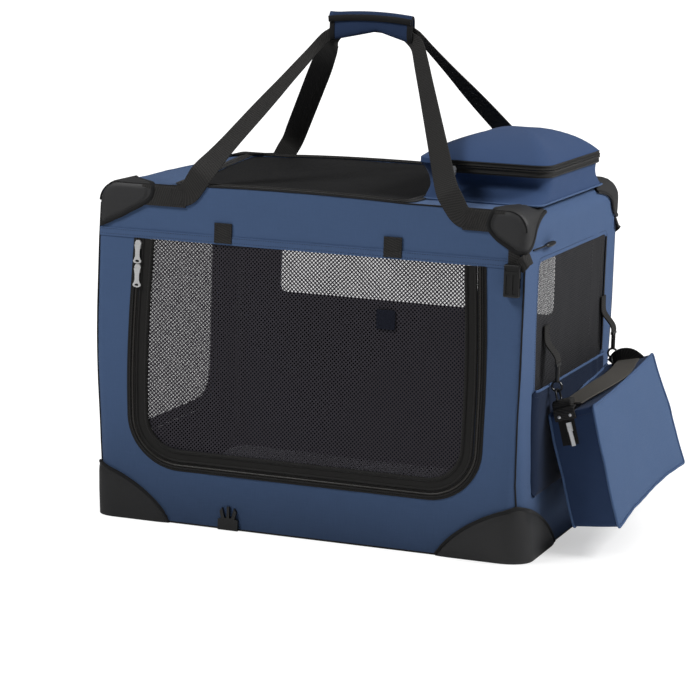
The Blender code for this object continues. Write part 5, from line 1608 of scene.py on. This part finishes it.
def slumped(points):
    """Bend a crisp box, drawn round its middle, into the hanging pouch."""
    p = np.array(points, float)
    a, b, c = np.clip(p / POUCH_HALF, -1, 1).T
    plump = (np.clip(1 - b ** 2, 0, 1) * np.clip(1 - c ** 2, 0, 1)) ** 0.6
    shift = np.zeros_like(p)
    outer, front = (1 + a) / 2, (1 - b) / 2
    shift[:, 0] = (0.0055 * a * plump + 0.003 * (1 - c) * a
                   - outer * front * (0.009 + 0.014 * (1 - c) / 2))
    shift[:, 1] = 0.003 * b * (1 - c ** 2)
    shift[:, 2] = (0.0105 * (1 - b ** 2) * (1 - c) / 2
                   + ((1 + b) / 2) ** 1.5 * (0.014 + 0.010 * (1 + c) / 2) - 0.002 * (1 + c) / 2
                   - outer * front * 0.014 * (1 - c) / 2)
    creases = np.array([noise.noise(Vector((y * 11 + 4, z * 17 + x * 9, 2.0)))
                        + 0.5 * noise.noise(Vector((y * 30 + z * 30, z * 12, x * 20)))
                        for x, y, z in p])
    shift += (p / POUCH_HALF) ** 9 * creases[:, None] * 0.0016
    return hung(POUCH_MID + p + shift)


def pouch_face(sign):
    def side(u, v, lift):
        return slumped(columns(sign * (POUCH_HALF[0] + lift), sign * u, v))
    return side


face_shape = rounded_box(-POUCH_HALF[1], POUCH_HALF[1], -POUCH_HALF[2], POUCH_HALF[2], 0.005, 3)
faces = [panel("pouch_outer", face_shape, [], pouch_face(1), pouch_cloth, thick=0.0014,
               pitch=0.009, ripple=0.0005, size=0.06, seed=51),
         panel("pouch_inner", face_shape, [], pouch_face(-1), pouch_cloth, thick=0.0014,
               pitch=0.012, seed=52)]
loop = round_ring(-POUCH_HALF[1], POUCH_HALF[1], -POUCH_HALF[2], POUCH_HALF[2], 0.005, 3, 30)


def gusset_ring(a, grow=0.0):
    ring = loop * (1 + grow / POUCH_HALF[1:])
    return slumped(columns(a * POUCH_HALF[0], *ring.T))


stations = np.linspace(-0.99, 0.99, 11)
# The gusset is the pouch's blue painted darker, as painted shade on its front end.
gusset = loft("pouch_gusset", [gusset_ring(a) for a in stations]
              + [gusset_ring(a, -0.0016) for a in stations[::-1]] + [gusset_ring(stations[0])],
              painted_shade_blue, caps=False)
middle = hung([POUCH_MID])[0]
pipes = []
for a in (-1, 1):
    edge = slumped(columns(a * (POUCH_HALF[0] + 0.0004),
                           *(loop * (1 + 0.0006 / POUCH_HALF[1:])).T))
    pipes.append(sweep("pouch_piping", edge, edge - middle, circle(0.0021), blue_moulded,
                       closed=True))


def along_pouch(points, lift=0.0, pitch=0.006):
    """A line over the pouch's gusset, given in the pouch's own frame."""
    line = even(points, pitch, False)
    local = line - POUCH_MID
    outward = np.zeros_like(local)
    end = (np.abs(local[:, 1]) / POUCH_HALF[1]) > (np.abs(local[:, 2]) / POUCH_HALF[2])
    outward[end, 1] = np.sign(local[end, 1])
    outward[~end, 2] = np.sign(local[~end, 2])
    near, far = slumped(local), slumped(local + outward * 0.01)
    return near + (far - near) * lift / 0.01, (far - near) / 0.01


POUCH_TOP = POUCH_MID[2] + POUCH_HALF[2]
NEAR_END, FAR_END = POUCH_MID[1] - POUCH_HALF[1], POUCH_MID[1] + POUCH_HALF[1]
ZIP_X = 0.011
zip_line, zip_out = along_pouch([(ZIP_X, NEAR_END, POUCH_TOP - 0.050), (ZIP_X, NEAR_END, POUCH_TOP),
                                 (ZIP_X, FAR_END, POUCH_TOP), (ZIP_X, FAR_END, POUCH_TOP - 0.040)])
POUCH_ZIP = profile(-130, -6, 130, -6, 130, 8, 30, 10, 20, 22, -20, 22, -30, 10, -130, 8)
zip_tape = sweep("pouch_zip", zip_line, zip_out, POUCH_ZIP, tape_black)
zip_coil = repeated("pouch_coil", [(zip_line + zip_out * 0.0019, zip_out)], 0.0022,
                    (0.0012, 0.0046, 0.0022), coil_finish, 17)
level = POUCH_TOP - 0.0090
row = along_pouch([(0.055, NEAR_END, level), (-0.009, NEAR_END, level)], 0.0004)
sewn(joined("pouch_sewn", *faces, gusset, *pipes, zip_tape, zip_coil,
            seam("pouch_rows", [row], thread_blue, 0.0040, 18)),
     "pouch", "fabric", "pouch_body")


# %% Pouch webbing
near, far, top = POUCH_MID[1] - 0.165, POUCH_MID[1] + 0.165, POUCH_TOP
route = cut_corners([(0.018, near, top + 0.008), (0.026, near + 0.03, top + 0.012),
                     (0.040, POUCH_MID[1] - 0.05, top + 0.016),
                     (0.040, POUCH_MID[1] + 0.05, top + 0.016),
                     (0.030, far - 0.03, top + 0.022), (0.026, far, top + 0.022)], 3)
lean = cut_corners([(1, 0, -0.1), (1, 0, -0.2), (1, 0, -0.35), (1, 0, -0.35), (1, 0, -0.2),
                    (1, 0, -0.1)], 3)
wide = turned(lean)
strap = band_along("pouch_band", hung(route), wide, webbing_brown,
                   STRAP_SECTION * (0.94, 1.0))


def loop_block(name, y, tall):
    """The doubled webbing that holds a ring, as a soft upright block."""
    rings = []
    for t in np.linspace(0, 1, 9):
        full = 1 - 0.16 * (2 * t - 1) ** 4
        ring = round_ring(0.005 - 0.0165 * full, 0.005 + 0.0165 * full, y - 0.0115 * full,
                          y + 0.0115 * full, 0.0035, 3, 4)
        rings.append(hung(at_height(ring, top + 0.0006 + tall * t)))
    return loft(name, rings, webbing_black)


def wire_ring(name, middle, radius, wire):
    """A round wire ring about a middle point in the pouch's frame."""
    angle = np.linspace(0, 2 * math.pi, 29)[:-1]
    line = hung(columns(0, np.cos(angle) * radius, np.sin(angle) * radius) + middle)
    return sweep(name, line, line - hung([middle])[0], circle(wire), plastic_finish, closed=True)


def stud(name, middle, outward, radius, height, finish):
    """A small domed rivet head."""
    outward = Vector(outward).normalized()
    aside = outward.orthogonal().normalized()
    other = outward.cross(aside)
    rings = []
    for share, rise in ((1.0, -0.3), (1.0, 0.2), (0.88, 0.62), (0.62, 0.90), (0.25, 1.0)):
        rings.append([Vector(middle) + outward * (rise * height) + radius * share
                      * (aside * math.cos(a) + other * math.sin(a))
                      for a in (2 * math.pi * k / 14 for k in range(14))])
    return loft(name, rings, finish)


parts = [strap]
for y, end in ((near, "front"), (far, "rear")):
    parts.append(loop_block(f"{end}_loop", y, 0.0165))
    parts.append(wire_ring(f"{end}_ring", (0.0, y, -0.011), 0.011, 0.0016))
turn = cut_corners([(-0.002, far, top + 0.020), (0.012, far - 0.003, top + 0.032),
                    (0.030, far - 0.002, top + 0.030), (0.040, far, top + 0.018),
                    (0.042, far + 0.002, top + 0.012)], 3)
turn_wide = turned(cut_corners([(-0.3, 0, 1), (-0.1, 0, 1), (0.3, 0, 1), (0.6, 0, 0.9),
                                (0.8, 0, 0.8)], 3))
parts.append(band_along("rear_turn", hung(turn), turn_wide, webbing_black,
                        STRAP_SECTION * (0.66, 1.0)))
flap_line = cut_corners([(0.008, y, top + z) for y, z in (
    (near + 0.012, 0.0040), (NEAR_END + 0.004, 0.0048), (NEAR_END - 0.0040, 0.0010),
    (NEAR_END - 0.0036, -0.008), (NEAR_END - 0.0030, -0.0135))], 3)
flap_wide = np.broadcast_to(turned([(1, 0, 0)]), flap_line.shape)
parts.append(band_along("front_flap", hung(flap_line), flap_wide, webbing_black,
                        STRAP_SECTION * (0.90, 1.15)))
front_way = turned([(0, -1, 0)])[0]
for x in (-0.001, 0.017):
    parts.append(stud("rivet", hung([(x, NEAR_END - 0.0048, top - 0.007)])[0], front_way, 0.0027,
                      0.0014, silver_finish))
sewn(joined("pouch_webbing", *parts), "pouch", "webbing", "pouch_strap")


# %% [markdown]
# ## Small webbing and fastenings
# Two webbing tabs hold the snap hooks, two short ties keep the rolled-up door, and a
# square of hook tape sits on the mesh. A drawcord end with its toggle shows at the
# window's upper front corner.

# %% Hook tabs, ties and hook square
def flat_strap(name, line, wide_way, width):
    line = cut_corners(line, 3)
    wide_way = np.broadcast_to(np.asarray(wide_way, float), line.shape)
    section = STRAP_SECTION * (width / STRAP_WIDE, 0.0022 / STRAP_THICK)
    return band_along(name, line, wide_way, webbing_black, section)


def box_of_stitches(name, place, outward, top, low, seed):
    """A rectangle of stitches; place gives a point from its side, -1 or 1, and height."""
    box = [place(side, z) for side, z in ((-1, top), (1, top), (1, low), (-1, low), (-1, top))]
    return seam(name, [(even(box, 0.003, False), outward)], thread_black, 0.0032, seed)


for end in ("front", "rear"):
    low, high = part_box(f"{end}_hook_tab")
    y = (low[1] + high[1]) / 2
    foot, head, wall_x = low[2], high[2], HALF_LENGTH + 0.0018
    tab = flat_strap(f"{end}_tab", [(PIVOT_X, y, foot), (PIVOT_X, y, foot + 0.006),
                                    (PIVOT_X - 0.004, y, foot + 0.014),
                                    (wall_x + 0.002, y, foot + 0.029),
                                    (wall_x, y, foot + 0.041), (wall_x, y, head)],
                     (0, 1, 0), 0.026)
    rows = box_of_stitches("tab_rows", lambda side, z: (wall_x + 0.0014, y + side * 0.009, z),
                           (1, 0, 0), head - 0.003, head - 0.015, 19)
    sewn(joined(f"{end}_tab_sewn", tab, rows), "base", "webbing", f"{end}_hook_tab", folds="tab")

for face, sy in FACES:
    top_x, _, top_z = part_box(f"{face}_buckle_socket")[1]
    line = [(top_x - 0.004, 0.0052, -0.005), (top_x + 0.003, 0.0050, 0.001),
            (HALF_LENGTH + 0.0008, 0.0035, 0.006), (HALF_LENGTH + 0.0036, -0.006, 0.008),
            (HALF_LENGTH + 0.0036, -0.014, 0.009)]
    tail = flat_strap(f"{face}_buckle_tail",
                      [(x, sy * (HALF_DEPTH + y), top_z + z) for x, y, z in line],
                      (-0.4, 0, 1), 0.019)
    sewn(tail, "roof", "webbing")

for end in ("left", "right"):
    low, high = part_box(f"tie_tab_{end}")
    x, y = (low[0] + high[0]) / 2, -HALF_DEPTH - 0.0018
    z = np.linspace(low[2] - 0.0004, high[2], 12)
    tie = flat_strap(f"tie_{end}", [(x, y, z[k]) for k in (0, 3, 8, 11)], (1, 0, 0), 0.0295)
    rows = box_of_stitches("tie_rows", lambda side, z: (x + side * 0.011, y - 0.0014, z),
                           (0, -1, 0), z[-1] - 0.003, z[0] + 0.010, 20)
    sewn(joined(f"tie_{end}_sewn", tie, rows), "base", "webbing", f"tie_tab_{end}", folds="fold")

square_low, square_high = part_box("hook_square")
square = panel("hook_square_felt", rounded_box(square_low[0], square_high[0], square_low[2],
                                               square_high[2], 0.002, 3), [], front_side,
               navy_lining, thick=0.0014, pitch=0.003, lift=0.0012, ripple=0.0004, size=0.01,
               seed=61)
sewn(square, "front_door", "webbing", "hook_square", folds="fold")


# %% Drawcord and toggle
toggle_low, toggle_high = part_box("window_toggle")
cord_x, cord_y = HALF_LENGTH + 0.0012, toggle_low[1] - 0.012
cord_z = (toggle_low[2] + toggle_high[2]) / 2
cord_path = cut_corners([(cord_x, cord_y, cord_z - 0.0015),
                         (cord_x + 0.004, cord_y + 0.016, cord_z),
                         (cord_x + 0.0055, cord_y + 0.052, cord_z)], 3)
cord = sweep("toggle_cord", cord_path, (0, 0, 1), circle(0.0012), binding_black)
barrel = []
for t in np.linspace(0, 1, 13):
    r = 0.0042 * (1 - abs(2 * t - 1) ** 2.6) ** 0.5 + 0.0007
    y = cord_y + 0.050 + 0.046 * t
    barrel.append([(cord_x + 0.0055 + r * math.cos(a), y, cord_z + r * 0.85 * math.sin(a))
                   for a in (2 * math.pi * k / 16 for k in range(16))])
sewn(joined("window_toggle_made", cord, loft("toggle_barrel", barrel, toggle_finish)), "base",
     "plastic", "window_toggle", folds="fold")


# %% [markdown]
# ## The base and the mat
# A dark sheet closes the bottom and a thin binding runs round it. On the board inside
# lies a padded mat. It is sewn as a bag and filled: the cloth is simulated with a little
# pressure, and what comes out is a pad that is full in its middle and thin at its seam.

# %% Base cover
def under_side(u, v, lift):
    return columns(v, u, 0.0006 - lift)


base_outline = rounded_box(-HALF_DEPTH + 0.001, HALF_DEPTH - 0.001, -HALF_LENGTH + 0.001,
                           HALF_LENGTH - 0.001, 0.033, 8)
base_sheet = panel("base_sheet", base_outline, [], under_side, base_cloth, thick=0.0020,
                   pitch=0.014, lift=0.0003)
loop = even(base_outline, 0.010)
edge = columns(loop[:, 1], loop[:, 0], 0.0019)[::-1]
base_binding = sweep("base_binding", edge, edge * (1, 1, 0), circle(0.0015), binding_black,
                     closed=True)
sewn(joined("base_cover_sewn", faced_out(base_sheet), base_binding), "base", "fabric_dark",
     "base_cover")


# %% Mat
mat_low, mat_high = (np.array(p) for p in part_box("mat"))


def mat_blank():
    """A flat bag, a little smaller than the mat will be."""
    rings = []
    for inset, level in ((0.012, 0.10), (0.005, 0.25), (0.004, 0.5), (0.005, 0.72), (0.012, 0.86)):
        ring = round_ring(mat_low[0] + inset, mat_high[0] - inset, mat_low[1] + inset,
                          mat_high[1] - inset, 0.020, 5, 40)
        rings.append(at_height(ring, mat_low[2] + level * (mat_high[2] - mat_low[2])))
    return loft("mat_pad", rings, fleece)


def puffed(obj, voxel, cap, pressure=4.0):
    """Fill a closed bag with a little air and keep the shape it takes."""
    remesh = obj.modifiers.new("even", "REMESH")
    remesh.mode, remesh.voxel_size = "VOXEL", voxel
    base = bpy.data.meshes.new_from_object(settled(obj))
    obj.modifiers.remove(remesh)
    obj.data = base
    start = points_of(base)
    cloth = obj.modifiers.new("filling", "CLOTH")
    cloth.settings.quality = 5
    cloth.settings.use_pressure = True
    cloth.settings.uniform_pressure_force = pressure
    cloth.settings.effector_weights.gravity = 0.0
    cloth.settings.mass = 0.3
    cloth.settings.tension_stiffness = cloth.settings.compression_stiffness = 25
    for step in range(1, 21):
        bpy.context.scene.frame_set(step)
    moved = points_of(settled(obj).data)
    obj.modifiers.remove(cloth)
    bpy.context.scene.frame_set(1)
    shift = moved - start
    far = np.linalg.norm(shift, axis=1, keepdims=True)
    start = start + shift * np.minimum(1, cap / np.maximum(far, 1e-9))
    return start


mat_pad = mat_blank()
filled = puffed(mat_pad, 0.0095, 0.010)
filled = np.clip(filled, mat_low + (0.0006, 0.0006, 0.0004), mat_high - (0.0006, 0.0006, -0.002))
set_points(mat_pad.data, filled)
mat_pad.data.materials.clear()
mat_pad.data.materials.append(fleece)
mat_pad.data.shade_smooth()
mat_edge = round_ring(mat_low[0] + 0.0035, mat_high[0] - 0.0035, mat_low[1] + 0.0035,
                      mat_high[1] - 0.0035, 0.020, 6, 30)
level = mat_low[2] + 0.5 * (mat_high[2] - mat_low[2])
mat_piping = sweep("mat_piping", at_height(mat_edge, level), (0, 0, 1), circle(0.0022),
                   binding_black, closed=True)
sewn(mat_pad, "base", "mat", "mat")
sewn(mat_piping, "base", "mat")
print("mat triangles:", len(mat_pad.data.polygons) * 2)


# %% [markdown]
# ## Copies of the door sliders
# The door sliders sit on cloth that the fold flattens, so each gets a copy of its own on
# what carries it. The pulls are a little broader than in the imported model, as the picture shows.

# %% Door sliders
def broadened(node, body, grow):
    """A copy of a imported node, merged and broadened about its own middle."""
    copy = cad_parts[node].data.copy()
    bm = bmesh.new()
    bm.from_mesh(copy)
    bmesh.ops.remove_doubles(bm, verts=bm.verts, dist=1e-6)
    bm.to_mesh(copy)
    bm.free()
    place = points_of(copy)
    middle = (place.min(axis=0) + place.max(axis=0)) / 2
    middle[2] = place[:, 2].max()
    set_points(copy, middle + (place - middle) * grow)
    sewn(placed(f"{node}_made", copy), body, "silver", node, folds="fold")


broadened("front_slider_upper", "base", (1.25, 1, 1))
broadened("front_slider_lower", "front_slider_lower", (1.25, 1, 1))
broadened("front_pull_upper", "front_pull_upper", (1.7, 1, 1))
broadened("front_pull_lower", "front_pull_lower", (1.7, 1, 1))
broadened("left_slider", "left_slider", (1, 1.25, 1))
broadened("left_pull", "left_pull", (1, 1.7, 1))


# %% [markdown]
# ## Cloth stretched on the frame
# The walls, the doors and the roof are flat sheets that the frame holds out. Each was cut
# to the size it has here, and its openings take away from its area.

# %% Sheets
for piece in (*walls, roof_cloth, roof_mesh_piece, front_mesh, left_mesh, right_window,
              back_window, side_pocket):
    cut_area = sum(face.area for face in piece.data.polygons) / 2
    cut = np.array(sorted(piece.dimensions)[1:])
    cut *= max(1, cut_area / cut.prod() * 1.001) ** 0.5
    print(piece.name, cut.round(3), "m, area", round(cut_area, 3))


# %% [markdown]
# ## Finish
# The scene is brought up to date at the end. Cloth may stand a few millimetres proud of the
# imported model, but no more.

# %% Finish
bpy.context.view_layer.update()
